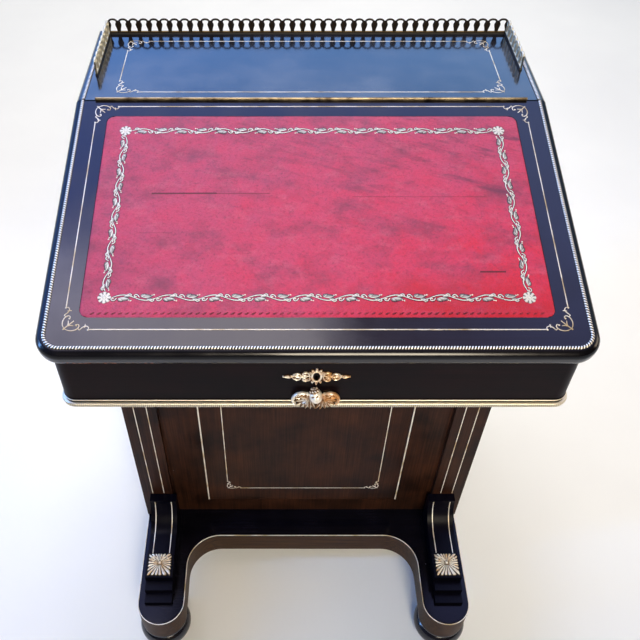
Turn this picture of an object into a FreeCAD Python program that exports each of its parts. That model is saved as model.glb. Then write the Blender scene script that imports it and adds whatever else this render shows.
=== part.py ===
import FreeCAD, Part
import math
import os
import re
import Sketcher

# Victorian ebonised davenport: a sloping writing desk on a pedestal of side drawers.
# Millimetres. +Z is up, the writer sits at -Y, the drawers open to +X.
# The origin lies on the floor under the middle of the desk.

# Driving dimensions

SIZES = {
    # turned bun feet and plinth
    "foot_height": 45, "foot_diameter": 84, "foot_ring": 9, "foot_back_inset": 44,
    "plinth_width": 538, "plinth_thickness": 50, "plinth_edge_round": 3, "foot_arm_width": 75.5,
    "foot_reach": 42, "plinth_setback": 111.5, "plinth_hollow_radius": 54, "plinth_back": 16,
    # pedestal
    "pedestal_width": 540, "pedestal_height": 529, "pedestal_front": 152.5, "pedestal_back": 19,
    "pilaster_width": 50, "pilaster_depth": 23.5, "field_recess": 9.5, "board": 16,
    "tablet_width": 320, "tablet_thickness": 8, "tablet_bottom": 45, "tablet_round": 6,
    "strip_width": 1.8, "strip_thickness": 1.2, "side_board": 14, "stile_width": 20, "dust_board": 12,
    # scroll feet on the plinth
    "scroll_offset": 235, "scroll_width": 44, "scroll_height": 70, "scroll_ledge": 13.5, "scroll_hollow": 27,
    "scroll_block": 31, "scroll_block_front": 23, "scroll_step_one": 18, "scroll_step_two": 7,
    "scroll_step_depth": 16, "scroll_margin": 2, "leaf_mount_size": 38,
    "leaf_mount_thickness": 2,
    # side drawers, from the top one down
    "drawer_2_height": 110, "drawer_3_height": 124, "drawer_4_height": 142,
    "drawer_length": 500, "drawer_front": 17, "drawer_proud": 3, "drawer_wall": 8, "drawer_base": 5,
    "drawer_gap": 1, "runner_gap": 0.3, "knob_diameter": 24, "knob_length": 14, "knob_neck": 11,
    "knob_spacing": 160,
    # desk box
    "box_width": 562, "box_front": 0.5, "box_back": 12, "box_front_height": 101, "box_wall": 14,
    "box_bottom": 14, "box_bottom_overhang": 0.5, "box_corner_radius": 15.5,
    "band_height": 8, "band_width": 3.5, "band_drop": 2,
    # writing slope
    "lid_width": 589, "slope_rise": 78.5, "lid_thickness": 25, "lid_nose": 10,
    "lid_corner_radius": 27.5, "lid_top_round": 8, "lid_bottom_round": 12, "lid_gap": 0.4,
    "bead_width": 4, "bead_height": 2, "bead_flat": 0.1, "leather_width": 502, "leather_front": 36,
    "leather_length": 285, "leather_back": 26.5, "leather_thickness": 1.2, "leather_corner": 10,
    # long hinge
    "hinge_length": 538, "hinge_diameter": 4, "hinge_pin": 2, "hinge_leaf": 1, "hinge_leaf_depth": 14,
    "hinge_knuckles": 21, "hinge_gap": 0.3, "pin_fit": 0.08,
    # top shelf and gallery
    "shelf_depth": 185.5, "gallery_width": 555, "gallery_back": 15.5, "return_pitch": 14,
    "gallery_height": 23, "gallery_rail": 4.5, "gallery_plate": 2.4, "gallery_shoulder": 18,
    "gallery_bays": 39, "left_bays": 8, "right_bays": 7, "bay_foot": 10.4, "bay_neck": 6.4,
    "bay_neck_height": 14.5, "bay_cap": 8.8, "bay_cap_height": 17, "bay_top": 20.6,
    "slit_low": 7.5, "slit_high": 16.5, "slit_width": 2.4,
    # lock and gilt mounts on the box front
    "escutcheon_height": 53, "escutcheon_length": 72, "escutcheon_ring": 17, "escutcheon_arm": 9,
    "escutcheon_waist": 4, "escutcheon_thickness": 2,
    "keyhole_diameter": 5, "keyhole_slot": 7, "wing_span": 53, "wing_height": 26, "wing_thickness": 3,
    "head_diameter": 16, "head_depth": 9, "head_round": 5, "wing_clear": 0.5,
    "lock_width": 52, "lock_depth": 14, "lock_height": 42, "lock_below_rim": 4, "bolt_width": 24,
    "bolt_thickness": 5, "bolt_length": 30, "bolt_proud": 3, "bolt_fit": 0.4, "strike_width": 52,
    "strike_depth": 20, "strike_thickness": 1.5, "mortise_depth": 9, "mortise_room": 3,
    # fitment under the shelf
    "fitment_front": 8.5, "fitment_board": 6, "small_drawer_height": 62, "small_drawer_depth": 135,
    "small_knob_diameter": 14, "small_knob_length": 11,
}

# Places worked out from the driving dimensions. Fronts are measured back from the slope's front bead,
# backs are measured in from the shelf's back edge, and the fitment from the hinge.

PLACES = {
    "lid_y": "(foot_reach + foot_proud - slope_run - shelf_depth) / 2",
    "foot_proud": "max(foot_diameter - foot_arm_width; 0) / 2",
    "foot_ball": "(foot_height - foot_ring) / 2",
    "foot_flat": "foot_diameter / 2 - foot_ball",
    "plinth_top": "foot_height + plinth_thickness",
    "box_z": "plinth_top + pedestal_height",
    "box_floor": "box_z + box_bottom",
    "lid_z": "box_z + box_front_height",
    "hinge_y": "lid_y + slope_run",
    "hinge_z": "lid_z + slope_rise",
    "shelf_under": "hinge_z - rim_drop",
    "slope_length": "leather_front + leather_length + leather_back",
    "slope_run": "sqrt(slope_length^2 - slope_rise^2)",
    "shelf_back_y": "hinge_y + shelf_depth",
    "slope_tilt": "slope_rise / slope_run",
    "upright": "slope_length / slope_run",
    "leaf_gap": "hinge_leaf + hinge_gap / 2",
    "hinge_lift": "hinge_diameter / 2 + hinge_gap",
    "rim_drop": "(lid_thickness + lid_gap) * upright",
    "rim_front": "lid_z + box_front * slope_tilt - rim_drop",
    "arm_centre": "plinth_width / 2 - foot_arm_width / 2",
    "arm_inner": "plinth_width / 2 - foot_arm_width",
    "arm_end": "lid_y - foot_reach + foot_arm_width / 2",
    "hollow_y": "lid_y + plinth_setback - plinth_hollow_radius",
    "hollow_x": "arm_inner - plinth_hollow_radius",
    "plinth_back_y": "shelf_back_y - plinth_back",
    "pedestal_y": "lid_y + pedestal_front",
    "back_y": "shelf_back_y - pedestal_back",
    "post_back": "pedestal_y + pilaster_depth",
    "field_y": "pedestal_y + field_recess",
    "opening_y": "post_back + stile_width",
    "opening_width": "back_y - stile_width - opening_y",
    "left_inner": "side_board - pedestal_width / 2",
    "right_inner": "pedestal_width / 2 - side_board",
    "drawer_face": "pedestal_width / 2 + drawer_proud",
    "box_front_y": "lid_y + box_front",
    "box_inner_y": "box_front_y + board",
    "box_back_y": "shelf_back_y - box_back",
    "box_inner_x": "box_width / 2 - box_wall",
    "bead_x": "lid_width / 2 - lid_nose",
    "bay_pitch": "gallery_width / gallery_bays",
    "fitment_y": "hinge_y + fitment_front",
    "fitment_z": "box_floor + small_drawer_height",
    "fitment_back": "box_back_y - board",
    "lock_z": "rim_front - lock_below_rim - lock_height",
    "mount_z": "box_floor + wing_clear + wing_height / 2",
    "keyhole_z": "box_z + escutcheon_height",
    "lock_top": "lock_z + lock_height",
    "drawer_4_z": "plinth_top + dust_board",
    "drawer_3_z": "drawer_4_z + drawer_4_height + dust_board",
    "drawer_2_z": "drawer_3_z + drawer_3_height + dust_board",
    "drawer_1_z": "drawer_2_z + drawer_2_height + dust_board",
    "drawer_1_height": "box_z - drawer_1_z",
    "scroll_top": "plinth_top + scroll_height",
    "block_top": "plinth_top + scroll_block",
    "block_y": "lid_y + scroll_block_front",
    "block_back": "block_y + leaf_mount_size + 2 * scroll_margin",
    "ledge_y": "pedestal_y - scroll_ledge",
    "sweep_floor": "plinth_top + scroll_hollow",
    "sweep_radius": "scroll_top - scroll_margin - sweep_floor",
    "front_width": "opening_width - 2 * drawer_gap",
    "front_y": "opening_y + drawer_gap",
    "drawer_inner": "drawer_face - drawer_front",
    "drawer_end": "drawer_face - drawer_length",
    "base_x": "box_width / 2 + box_bottom_overhang",
    "base_y": "box_front_y - box_bottom_overhang",
    "base_corner_x": "base_x - box_corner_radius",
    "base_corner_y": "base_y + box_corner_radius",
    "rim_inner": "rim_front + board * slope_tilt",
    "small_width": "box_inner_x - fitment_board / 2 - 2 * drawer_gap",
    "small_tall": "small_drawer_height - runner_gap - drawer_gap",
    "nose": "-slope_length - lid_nose",
    "lid_corner_x": "lid_width / 2 - lid_corner_radius",
    "lid_corner_y": "nose + lid_corner_radius",
    "lid_back": "-leaf_gap * upright",
    "mortise_y": "(box_inner_y + lock_depth / 2 - hinge_y) * upright - mortise_lean",
    "mortise_lean": "(lid_thickness - mortise_depth / 2) * slope_tilt",
    "mortise_half": "bolt_thickness / 2 + mortise_room",
    "mortise_end": "bolt_width / 2 + mortise_room",
    "bead_round": "lid_corner_radius - lid_nose",
    "bead_corner_x": "bead_x - bead_round",
    "bead_corner_y": "-slope_length + bead_round",
    "knuckle": "hinge_length / hinge_knuckles",
}

doc = FreeCAD.newDocument("davenport")
sheet = doc.addObject("Spreadsheet::Sheet", "dims")
for row, (alias, size) in enumerate(SIZES.items(), start=1):
    sheet.set(f"A{row}", str(size))
    sheet.setAlias(f"A{row}", alias)
doc.recompute()

parts = []


def bind(text):
    """Turn the words of a formula into references to the sheet's cells."""
    def cell(match):
        word = match.group(0)
        if word in SIZES:
            return f"dims.{word}"
        if word in PLACES:
            return f"({bind(PLACES[word])})"
        return word
    return re.sub(r"[A-Za-z_]\w*", cell, str(text))


def value(text):
    """The present number of a formula."""
    return float(sheet.evalExpression(bind(text)))


def place(item, base, axis=None, angle=None):
    """Bind the place, and any turn, of an object."""
    if axis:
        item.Placement = FreeCAD.Placement(FreeCAD.Vector(), FreeCAD.Rotation(axis, 1))
        item.setExpression("Placement.Rotation.Angle", bind(angle))
    for letter, text in zip("xyz", base):
        item.setExpression(f"Placement.Base.{letter}", bind(text))


def keep(item):
    """Hand a finished sub-part in under its label."""
    parts.append(item)
    return item


def board(label, x, y, z):
    """A squared board: each of x, y and z is a start and a size."""
    item = doc.addObject("Part::Box", label)
    item.Label = label
    for prop, (start, size) in zip(("Length", "Width", "Height"), (x, y, z)):
        item.setExpression(prop, bind(size))
    place(item, (x[0], y[0], z[0]))
    return item


def group(label, members):
    """Several loose solids of one piece or of like pieces, under one label."""
    item = doc.addObject("Part::Compound", label)
    item.Label = label
    item.Links = members
    return keep(item)


def new_body(label, base=("0", "0", "0"), axis=None, angle=None):
    body = doc.addObject("PartDesign::Body", label)
    body.Label = label
    place(body, base, axis, angle)
    return body


def origin_feature(body, role):
    return next(item for item in body.Origin.OriginFeatures if item.Role == role)


def draw(sketch, outline):
    """Close an outline of corners (u, v); an arc to a corner is (u, v, centre u, centre v, turn)."""
    spots = [FreeCAD.Vector(value(corner[0]), value(corner[1]), 0) for corner in outline]
    lines, ends = [], []
    first = sketch.GeometryCount
    for number, corner in enumerate(outline):
        start, end = spots[number - 1], spots[number]
        if len(corner) == 2:
            lines.append(Part.LineSegment(start, end))
            ends.append((1, 2))
            continue
        centre = FreeCAD.Vector(value(corner[2]), value(corner[3]), 0)
        left = corner[4] == "left"
        tail, head = (start, end) if left else (end, start)
        begin = math.atan2(tail.y - centre.y, tail.x - centre.x)
        stop = math.atan2(head.y - centre.y, head.x - centre.x)
        stop += 2 * math.pi if stop <= begin else 0
        circle = Part.Circle(centre, FreeCAD.Vector(0, 0, 1), (start - centre).Length)
        lines.append(Part.ArcOfCircle(circle, begin, stop))
        ends.append((1, 2) if left else (2, 1))
    sketch.addGeometry(lines, False)
    rules, formulas = [], []
    for number, corner in enumerate(outline):
        line, after = first + number, (number + 1) % len(outline)
        rules.append(Sketcher.Constraint("Coincident", line, ends[number][1], first + after, ends[after][0]))
        formulas.append(None)
        for kind, text, at in zip(("DistanceX", "DistanceY"), corner, spots[number]):
            rules.append(Sketcher.Constraint(kind, -1, 1, line, ends[number][1], at))
            formulas.append(text)
        if len(corner) > 2:
            chord = spots[number] - spots[number - 1]
            flat = abs(chord.x) >= abs(chord.y)
            kind, text = ("DistanceY", corner[3]) if flat else ("DistanceX", corner[2])
            rules.append(Sketcher.Constraint(kind, -1, 1, line, 3, value(text)))
            formulas.append(text)
    base = sketch.ConstraintCount
    sketch.addConstraint(rules)
    for number, text in enumerate(formulas):
        if text is not None:
            sketch.setExpression(f"Constraints[{base + number}]", bind(text))


def new_sketch(body, role, outlines, lift="0"):
    """Outlines on one of the body's own planes, lifted along its normal."""
    sketch = body.newObject("Sketcher::SketchObject", f"{body.Label}_sketch")
    sketch.AttachmentSupport = [(origin_feature(body, role), "")]
    sketch.MapMode = "FlatFace"
    sketch.setExpression("AttachmentOffset.Base.z", bind(lift))
    for outline in outlines:
        draw(sketch, outline)
    return sketch


def circle_outline(u, v, radius):
    """A round outline as two half circles."""
    return [(f"{u} + {radius}", v, u, v, "left"), (f"{u} - {radius}", v, u, v, "left")]


def box_outline(u0, v0, u1, v1):
    return [(u0, v0), (u1, v0), (u1, v1), (u0, v1)]


def pad(body, role, outlines, length, lift="0", middle=False):
    feature = body.newObject("PartDesign::Pad", f"{body.Label}_pad")
    feature.Profile = new_sketch(body, role, outlines, lift)
    feature.setExpression("Length", bind(length))
    feature.SideType = "Symmetric" if middle else "One side"
    doc.recompute()
    return feature


def pocket(body, role, outlines, length, lift="0", middle=False, back=False):
    """Cut outlines into the body and make sure that wood or metal came away."""
    before = body.Shape.Volume
    feature = body.newObject("PartDesign::Pocket", f"{body.Label}_pocket")
    feature.Profile = new_sketch(body, role, outlines, lift)
    feature.setExpression("Length", bind(length))
    feature.SideType = "Symmetric" if middle else "One side"
    feature.Reversed = back
    doc.recompute()
    if body.Shape.Volume >= before:
        raise RuntimeError(f"{body.Label}: the cut removed nothing")
    return feature


def turn(label, outline, base, axis=None, angle=None):
    """A turned piece: its half section, in radius and height, spun about the height."""
    body = new_body(label, base, axis, angle)
    feature = body.newObject("PartDesign::Revolution", f"{label}_turning")
    feature.Profile = new_sketch(body, "XZ_Plane", [outline])
    feature.ReferenceAxis = (origin_feature(body, "Z_Axis"), [""])
    doc.recompute()
    return body


def soften(body, radius, chosen):
    """Round the edges for which chosen(edge) holds."""
    base = body.Tip
    names = [f"Edge{number}" for number, edge in enumerate(base.Shape.Edges, start=1) if chosen(edge)]
    feature = body.newObject("PartDesign::Fillet", f"{body.Label}_rounding")
    feature.Base = (base, names)
    feature.setExpression("Radius", bind(radius))
    doc.recompute()
    return feature


def level(edge, height):
    """True for an edge that lies all at one height of its body."""
    return max(abs(vertex.Z - height) for vertex in edge.Vertexes) < 1e-4


def facing(edge, depth):
    """True for an edge on the front of a board of one thickness that is padded towards the writer."""
    return max(abs(vertex.Y + depth) for vertex in edge.Vertexes) < 1e-4


def walked_back(edge):
    """An open edge with its corners in the opposite order."""
    walked = []
    for number in range(len(edge) - 1, -1, -1):
        left_by = edge[number + 1] if number + 1 < len(edge) else ()
        arc = (left_by[2], left_by[3], "right") if len(left_by) > 2 else ()
        walked.append(edge[number][:2] + arc)
    return walked


# Bun feet: a neck under the plinth, a bead and a flattened ball, turned in one piece.

foot_section = [
    ("0", "0"),
    ("foot_flat", "0"),
    ("foot_flat", "foot_height - foot_ring", "foot_flat", "foot_ball", "left"),
    ("foot_diameter / 2 - foot_ring", "foot_height - foot_ring"),
    ("foot_diameter / 2 - foot_ring", "foot_height", "foot_diameter / 2 - foot_ring",
     "foot_height - foot_ring / 2", "left"),
    ("0", "foot_height"),
]
foot_places = {
    "foot_front_left": ("-arm_centre", "arm_end"),
    "foot_front_right": ("arm_centre", "arm_end"),
    "foot_back_left": ("-arm_centre", "plinth_back_y - foot_back_inset"),
    "foot_back_right": ("arm_centre", "plinth_back_y - foot_back_inset"),
}
for label, (x, y) in foot_places.items():
    keep(turn(label, foot_section, (x, y, "0")))

# Plinth: one thick board sawn to a U, with two round-ended arms that reach forward.

plinth = keep(new_body("plinth", ("0", "0", "foot_height")))
pad(plinth, "XY_Plane", [[
    ("plinth_width / 2", "plinth_back_y"),
    ("-plinth_width / 2", "plinth_back_y"),
    ("-plinth_width / 2", "arm_end"),
    ("-arm_inner", "arm_end", "-arm_centre", "arm_end", "left"),
    ("-arm_inner", "hollow_y"),
    ("-hollow_x", "hollow_y + plinth_hollow_radius", "-hollow_x", "hollow_y", "right"),
    ("hollow_x", "hollow_y + plinth_hollow_radius"),
    ("arm_inner", "hollow_y", "hollow_x", "hollow_y", "right"),
    ("arm_inner", "arm_end"),
    ("plinth_width / 2", "arm_end", "arm_centre", "arm_end", "left"),
]], "plinth_thickness")
soften(plinth, "plinth_edge_round", lambda edge: level(edge, value("plinth_thickness")))

# Pedestal boards: recessed front with a raised tablet, back, left side, drawer frame on the right.

full_height = ("plinth_top", "pedestal_height")
keep(board("pedestal_front", ("pilaster_width - pedestal_width / 2", "pedestal_width - 2 * pilaster_width"),
           ("field_y", "board"), full_height))
tablet = keep(new_body("front_tablet", ("0", "field_y", "plinth_top + tablet_bottom")))
tablet_plan = box_outline("-tablet_width / 2", "0", "tablet_width / 2", "pedestal_height - tablet_bottom")
pad(tablet, "XZ_Plane", [tablet_plan], "tablet_thickness")
soften(tablet, "tablet_round", lambda edge: level(edge, 0) and facing(edge, value("tablet_thickness")))
group("tablet_strips", [
    board(f"tablet_strip_{side}", (start, "strip_width"),
          ("field_y - tablet_thickness - strip_thickness", "strip_thickness"),
          ("plinth_top + tablet_bottom + tablet_round", "pedestal_height - tablet_bottom - tablet_round"))
    for side, start in (("left", "-tablet_width / 2"), ("right", "tablet_width / 2 - strip_width"))
])
for side, start in (("left", "-pedestal_width / 2"), ("right", "pedestal_width / 2 - pilaster_width")):
    keep(board(f"pilaster_{side}", (start, "pilaster_width"), ("pedestal_y", "pilaster_depth"), full_height))
keep(board("pedestal_left_side", ("-pedestal_width / 2", "side_board"), ("post_back", "back_y - post_back"),
           full_height))
keep(board("pedestal_back", ("left_inner", "right_inner - left_inner"), ("back_y - board", "board"),
           full_height))
for label, start in (("front_stile", "post_back"), ("back_stile", "back_y - stile_width")):
    keep(board(label, ("right_inner", "side_board"), (start, "stile_width"), full_height))

# Drawer frame: a bottom board and three dust boards, let in between the left side and the stiles.

shelf_span = (("left_inner", "pedestal_width - side_board"), ("opening_y", "opening_width"))
keep(board("pedestal_bottom", *shelf_span, ("plinth_top", "dust_board")))
for number in "123":
    keep(board(f"dust_board_{number}", *shelf_span, (f"drawer_{number}_z - dust_board", "dust_board")))

# Scroll feet: a ledge against the pilaster, a hollow sweep, a block for the mount and two steps.

scroll_section = [
    ("pedestal_y", "plinth_top"),
    ("pedestal_y", "scroll_top"),
    ("ledge_y", "scroll_top"),
    ("ledge_y", "scroll_top - scroll_margin"),
    ("ledge_y - sweep_radius", "sweep_floor", "ledge_y - sweep_radius", "scroll_top - scroll_margin",
     "right"),
    ("block_back", "sweep_floor"),
    ("block_back", "block_top"),
    ("block_y", "block_top"),
    ("block_y", "plinth_top + scroll_step_one"),
    ("block_y - scroll_step_depth", "plinth_top + scroll_step_one"),
    ("block_y - scroll_step_depth", "plinth_top + scroll_step_two"),
    ("block_y - 2 * scroll_step_depth", "plinth_top + scroll_step_two"),
    ("block_y - 2 * scroll_step_depth", "plinth_top"),
]
for side, sign in (("left", "-"), ("right", "")):
    scroll = keep(new_body(f"scroll_foot_{side}", (f"{sign}scroll_offset", "0", "0")))
    pad(scroll, "YZ_Plane", [scroll_section], "scroll_width", middle=True)
group("leaf_mounts", [
    board(f"leaf_mount_{side}", (f"{sign}scroll_offset - leaf_mount_size / 2", "leaf_mount_size"),
          ("block_y + scroll_margin", "leaf_mount_size"), ("block_top", "leaf_mount_thickness"))
    for side, sign in (("left", "-"), ("right", ""))
])

# Side drawers: a front, two sides, a back and a bottom each; on the left, thin dummy fronts match them.

knob_section = [
    ("0", "0"),
    ("knob_neck / 2", "0"),
    ("knob_neck / 2", "knob_length / 3"),
    ("knob_diameter / 2", "knob_length * 2 / 3"),
    ("0", "knob_length", "0",
     "knob_length * 2 / 3 - (knob_diameter^2 / 4 - knob_length^2 / 9) * 3 / (2 * knob_length)", "left"),
]
knob_rows = [f"opening_y + opening_width / 2 {sign} knob_spacing / 2" for sign in "-+"]
across, along = FreeCAD.Vector(0, 1, 0), FreeCAD.Vector(1, 0, 0)
dummy_fronts, dummy_knobs = [], []
for number in "1234":
    name = f"drawer_{number}"
    base = f"{name}_z + runner_gap"
    tall = f"{name}_height - runner_gap - drawer_gap"
    middle_z = f"{base} + ({tall}) / 2"
    walls = ("drawer_end", "drawer_inner - drawer_end")
    group(name, [
        board(f"{name}_front", ("drawer_inner", "drawer_front"), ("front_y", "front_width"), (base, tall)),
        board(f"{name}_side_front", walls, ("front_y", "drawer_wall"), (base, tall)),
        board(f"{name}_side_back", walls, ("front_y + front_width - drawer_wall", "drawer_wall"),
              (base, tall)),
        board(f"{name}_back", ("drawer_end", "drawer_wall"),
              ("front_y + drawer_wall", "front_width - 2 * drawer_wall"), (base, tall)),
        board(f"{name}_base", ("drawer_end + drawer_wall", "drawer_inner - drawer_end - drawer_wall"),
              ("front_y + drawer_wall", "front_width - 2 * drawer_wall"), (base, "drawer_base")),
    ])
    group(f"{name}_knobs", [
        turn(f"{name}_knob_{spot}", knob_section, ("drawer_face", y, middle_z), across, "90")
        for spot, y in enumerate(knob_rows, start=1)
    ])
    dummy_fronts.append(board(f"dummy_front_{number}", ("-drawer_face", "drawer_proud"),
                              ("front_y", "front_width"), (base, tall)))
    dummy_knobs += [
        turn(f"dummy_knob_{number}_{spot}", knob_section, ("-drawer_face", y, middle_z), across, "-90")
        for spot, y in enumerate(knob_rows, start=1)
    ]
group("dummy_fronts", dummy_fronts)
group("dummy_knobs", dummy_knobs)

# Desk box: a bottom with rounded front corners, front, back and two sides that follow the slope.


def base_edge(proud):
    """The box bottom's sides and front, from the left back corner to the right one, grown outwards."""
    return [
        (f"-base_x - {proud}", "box_back_y"),
        (f"-base_x - {proud}", "base_corner_y"),
        ("-base_corner_x", f"base_y - {proud}", "-base_corner_x", "base_corner_y", "left"),
        ("base_corner_x", f"base_y - {proud}"),
        (f"base_x + {proud}", "base_corner_y", "base_corner_x", "base_corner_y", "left"),
        (f"base_x + {proud}", "box_back_y"),
    ]


well_bottom = keep(new_body("well_bottom", ("0", "0", "box_z")))
pad(well_bottom, "XY_Plane", [base_edge("0")], "box_bottom")
gadroon_band = keep(new_body("gadroon_band", ("0", "0", "box_z + band_drop")))
pad(gadroon_band, "XY_Plane", [base_edge("band_width") + walked_back(base_edge("0"))], "band_height")

keyhole = [
    ("-0.3 * keyhole_diameter", "keyhole_z - keyhole_slot"),
    ("0.3 * keyhole_diameter", "keyhole_z - keyhole_slot"),
    ("0.3 * keyhole_diameter", "keyhole_z - 0.4 * keyhole_diameter"),
    ("-0.3 * keyhole_diameter", "keyhole_z - 0.4 * keyhole_diameter", "0", "keyhole_z", "left"),
]
well_front = keep(new_body("well_front", ("0", "box_inner_y", "0")))
front_plan = box_outline("-box_width / 2", "box_floor", "box_width / 2", "rim_front")
pad(well_front, "XZ_Plane", [front_plan, keyhole], "board")
soften(well_front, "box_corner_radius - box_bottom_overhang",
       lambda edge: facing(edge, value("board")) and not level(edge, edge.Vertexes[0].Z)
       and min(abs(vertex.X) for vertex in edge.Vertexes) > value("base_corner_x"))
keep(board("well_back", ("-box_inner_x", "2 * box_inner_x"), ("box_back_y - board", "board"),
           ("box_floor", "shelf_under - box_floor")))
well_side = [
    ("box_inner_y", "box_floor"),
    ("box_back_y", "box_floor"),
    ("box_back_y", "shelf_under"),
    ("hinge_y", "shelf_under"),
    ("box_inner_y", "rim_inner"),
]
for side, start in (("left", "-box_width / 2"), ("right", "box_inner_x")):
    well = keep(new_body(f"well_{side}", (start, "0", "0")))
    pad(well, "YZ_Plane", [well_side], "box_wall")

# Fitment in the well: a shelf on two small drawers, with pigeonholes over it.

fitment_depth = ("fitment_y", "fitment_back - fitment_y")
keep(board("fitment_shelf", ("-box_inner_x", "2 * box_inner_x"), fitment_depth,
           ("fitment_z", "fitment_board")))
keep(board("drawer_divider", ("-fitment_board / 2", "fitment_board"), fitment_depth,
           ("box_floor", "small_drawer_height")))
keep(board("pigeonhole_divider", ("-fitment_board / 2", "fitment_board"), fitment_depth,
           ("fitment_z + fitment_board", "shelf_under - fitment_z - fitment_board")))
small_knob_section = [
    ("0", "0"),
    ("small_knob_diameter / 4", "0"),
    ("small_knob_diameter / 4", "small_knob_length / 3"),
    ("small_knob_diameter / 2", "small_knob_length / 2"),
    ("small_knob_diameter / 2", "small_knob_length * 3 / 4"),
    ("0", "small_knob_length"),
]
for side, start in (("left", "drawer_gap - box_inner_x"), ("right", "fitment_board / 2 + drawer_gap")):
    name = f"small_drawer_{side}"
    base = "box_floor + runner_gap"
    inner = (f"{start} + drawer_base", "small_width - 2 * drawer_base")
    group(name, [
        board(f"{name}_front", (start, "small_width"), ("fitment_y", "drawer_wall"), (base, "small_tall")),
        board(f"{name}_side_left", (start, "drawer_base"),
              ("fitment_y + drawer_wall", "small_drawer_depth - drawer_wall"), (base, "small_tall")),
        board(f"{name}_side_right", (f"{start} + small_width - drawer_base", "drawer_base"),
              ("fitment_y + drawer_wall", "small_drawer_depth - drawer_wall"), (base, "small_tall")),
        board(f"{name}_back", inner, ("fitment_y + small_drawer_depth - drawer_base", "drawer_base"),
              (base, "small_tall")),
        board(f"{name}_base", inner,
              ("fitment_y + drawer_wall", "small_drawer_depth - drawer_wall - drawer_base"),
              (base, "drawer_base")),
    ])
    keep(turn(f"small_knob_{side}", small_knob_section,
              (f"{start} + small_width / 2", "fitment_y", f"{base} + small_tall / 2"), along, "90"))

# Top shelf: a fixed board with a moulded edge at the sides and the back.

shelf = keep(new_body("top_shelf", ("0", "hinge_y", "hinge_z")))
pad(shelf, "XY_Plane", [box_outline("-lid_width / 2", "leaf_gap", "lid_width / 2", "shelf_depth")],
    "rim_drop", lift="-rim_drop")


def outer_edge(height, hinge_line):
    """Chooses the edges at one height of a board, other than the one along the hinge."""
    def chosen(edge):
        off_hinge = max(abs(vertex.Y - hinge_line) for vertex in edge.Vertexes)
        return level(edge, height) and off_hinge > 1e-4
    return chosen


soften(shelf, "lid_top_round", outer_edge(0, value("leaf_gap")))
soften(shelf, "lid_bottom_round", outer_edge(-value("rim_drop"), value("leaf_gap")))

# Gilt bead along the shelf's two sides.

shelf_beads = []
for side, sign in (("left", "-"), ("right", "")):
    bead = new_body(f"shelf_bead_{side}", (f"{sign}bead_x", "hinge_y", "hinge_z"))
    bead_plan = box_outline("-bead_width / 2", "leaf_gap", "bead_width / 2", "shelf_depth - lid_nose")
    pad(bead, "XY_Plane", [bead_plan], "bead_height")
    soften(bead, "bead_height - bead_flat",
           lambda edge: level(edge, value("bead_height")) and edge.Length > value("bead_width"))
    shelf_beads.append(bead)
group("shelf_bead", shelf_beads)

# Pierced gallery: each bay is an arch on a rail, with a bell-shaped hole between two slender uprights
# that part from the next bay in a narrow slit.


def gallery_run(label, base, pitch, bays, angle):
    """A straight run of arched bays, pierced and repeated along the rail."""
    run = keep(new_body(label, base, FreeCAD.Vector(0, 0, 1), angle))
    rise = "gallery_height - gallery_shoulder"
    arch_centre = f"gallery_height - (({pitch})^2 / 4 + ({rise})^2) / (2 * ({rise}))"
    cap_rise = "(bay_top - bay_cap_height)"
    cap_centre = f"bay_top - (bay_cap^2 / 4 + {cap_rise}^2) / (2 * {cap_rise})"
    middle = f"({pitch}) / 2"
    slit_middle = "(slit_low + slit_high) / 2"
    arch = [
        ("0", "0"),
        (pitch, "0"),
        (pitch, "slit_low"),
        (f"{pitch} - slit_width / 2", slit_middle),
        (pitch, "slit_high"),
        (pitch, "gallery_shoulder"),
        ("0", "gallery_shoulder", middle, arch_centre, "left"),
        ("0", "slit_high"),
        ("slit_width / 2", slit_middle),
        ("0", "slit_low"),
    ]
    bell = [
        (f"{middle} - bay_foot / 2", "gallery_rail"),
        (f"{middle} + bay_foot / 2", "gallery_rail"),
        (f"{middle} + bay_neck / 2", "bay_neck_height"),
        (f"{middle} + bay_cap / 2", "bay_cap_height"),
        (f"{middle} - bay_cap / 2", "bay_cap_height", middle, cap_centre, "left"),
        (f"{middle} - bay_neck / 2", "bay_neck_height"),
    ]
    bay = pad(run, "XZ_Plane", [arch, bell], "gallery_plate", middle=True)
    repeat = run.newObject("PartDesign::LinearPattern", f"{label}_bays")
    repeat.Originals = [bay]
    repeat.Direction = (bay.Profile[0], ["H_Axis"])
    repeat.setExpression("Length", bind(f"({pitch}) * ({bays} - 1)"))
    repeat.setExpression("Occurrences", bind(bays))
    run.Tip = repeat
    doc.recompute()


gallery_y = "shelf_back_y - gallery_back"
gallery_run("gallery_back", ("-gallery_width / 2", gallery_y, "hinge_z"), "bay_pitch", "gallery_bays", "0")
for side, sign in (("left", "-"), ("right", "")):
    bays = f"{side}_bays"
    return_front = f"{gallery_y} - gallery_plate / 2 - return_pitch * {bays}"
    gallery_run(f"gallery_{side}", (f"{sign}(gallery_width - gallery_plate) / 2", return_front, "hinge_z"),
                "return_pitch", bays, "90")

# Writing slope. Its own frame lies in the slope, with the origin on the hinge line.

slope_angle = "atan2(slope_rise; slope_run)"
hinge_line = ("0", "hinge_y", "hinge_z")


def slope_body(label):
    return keep(new_body(label, hinge_line, along, slope_angle))


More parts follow.
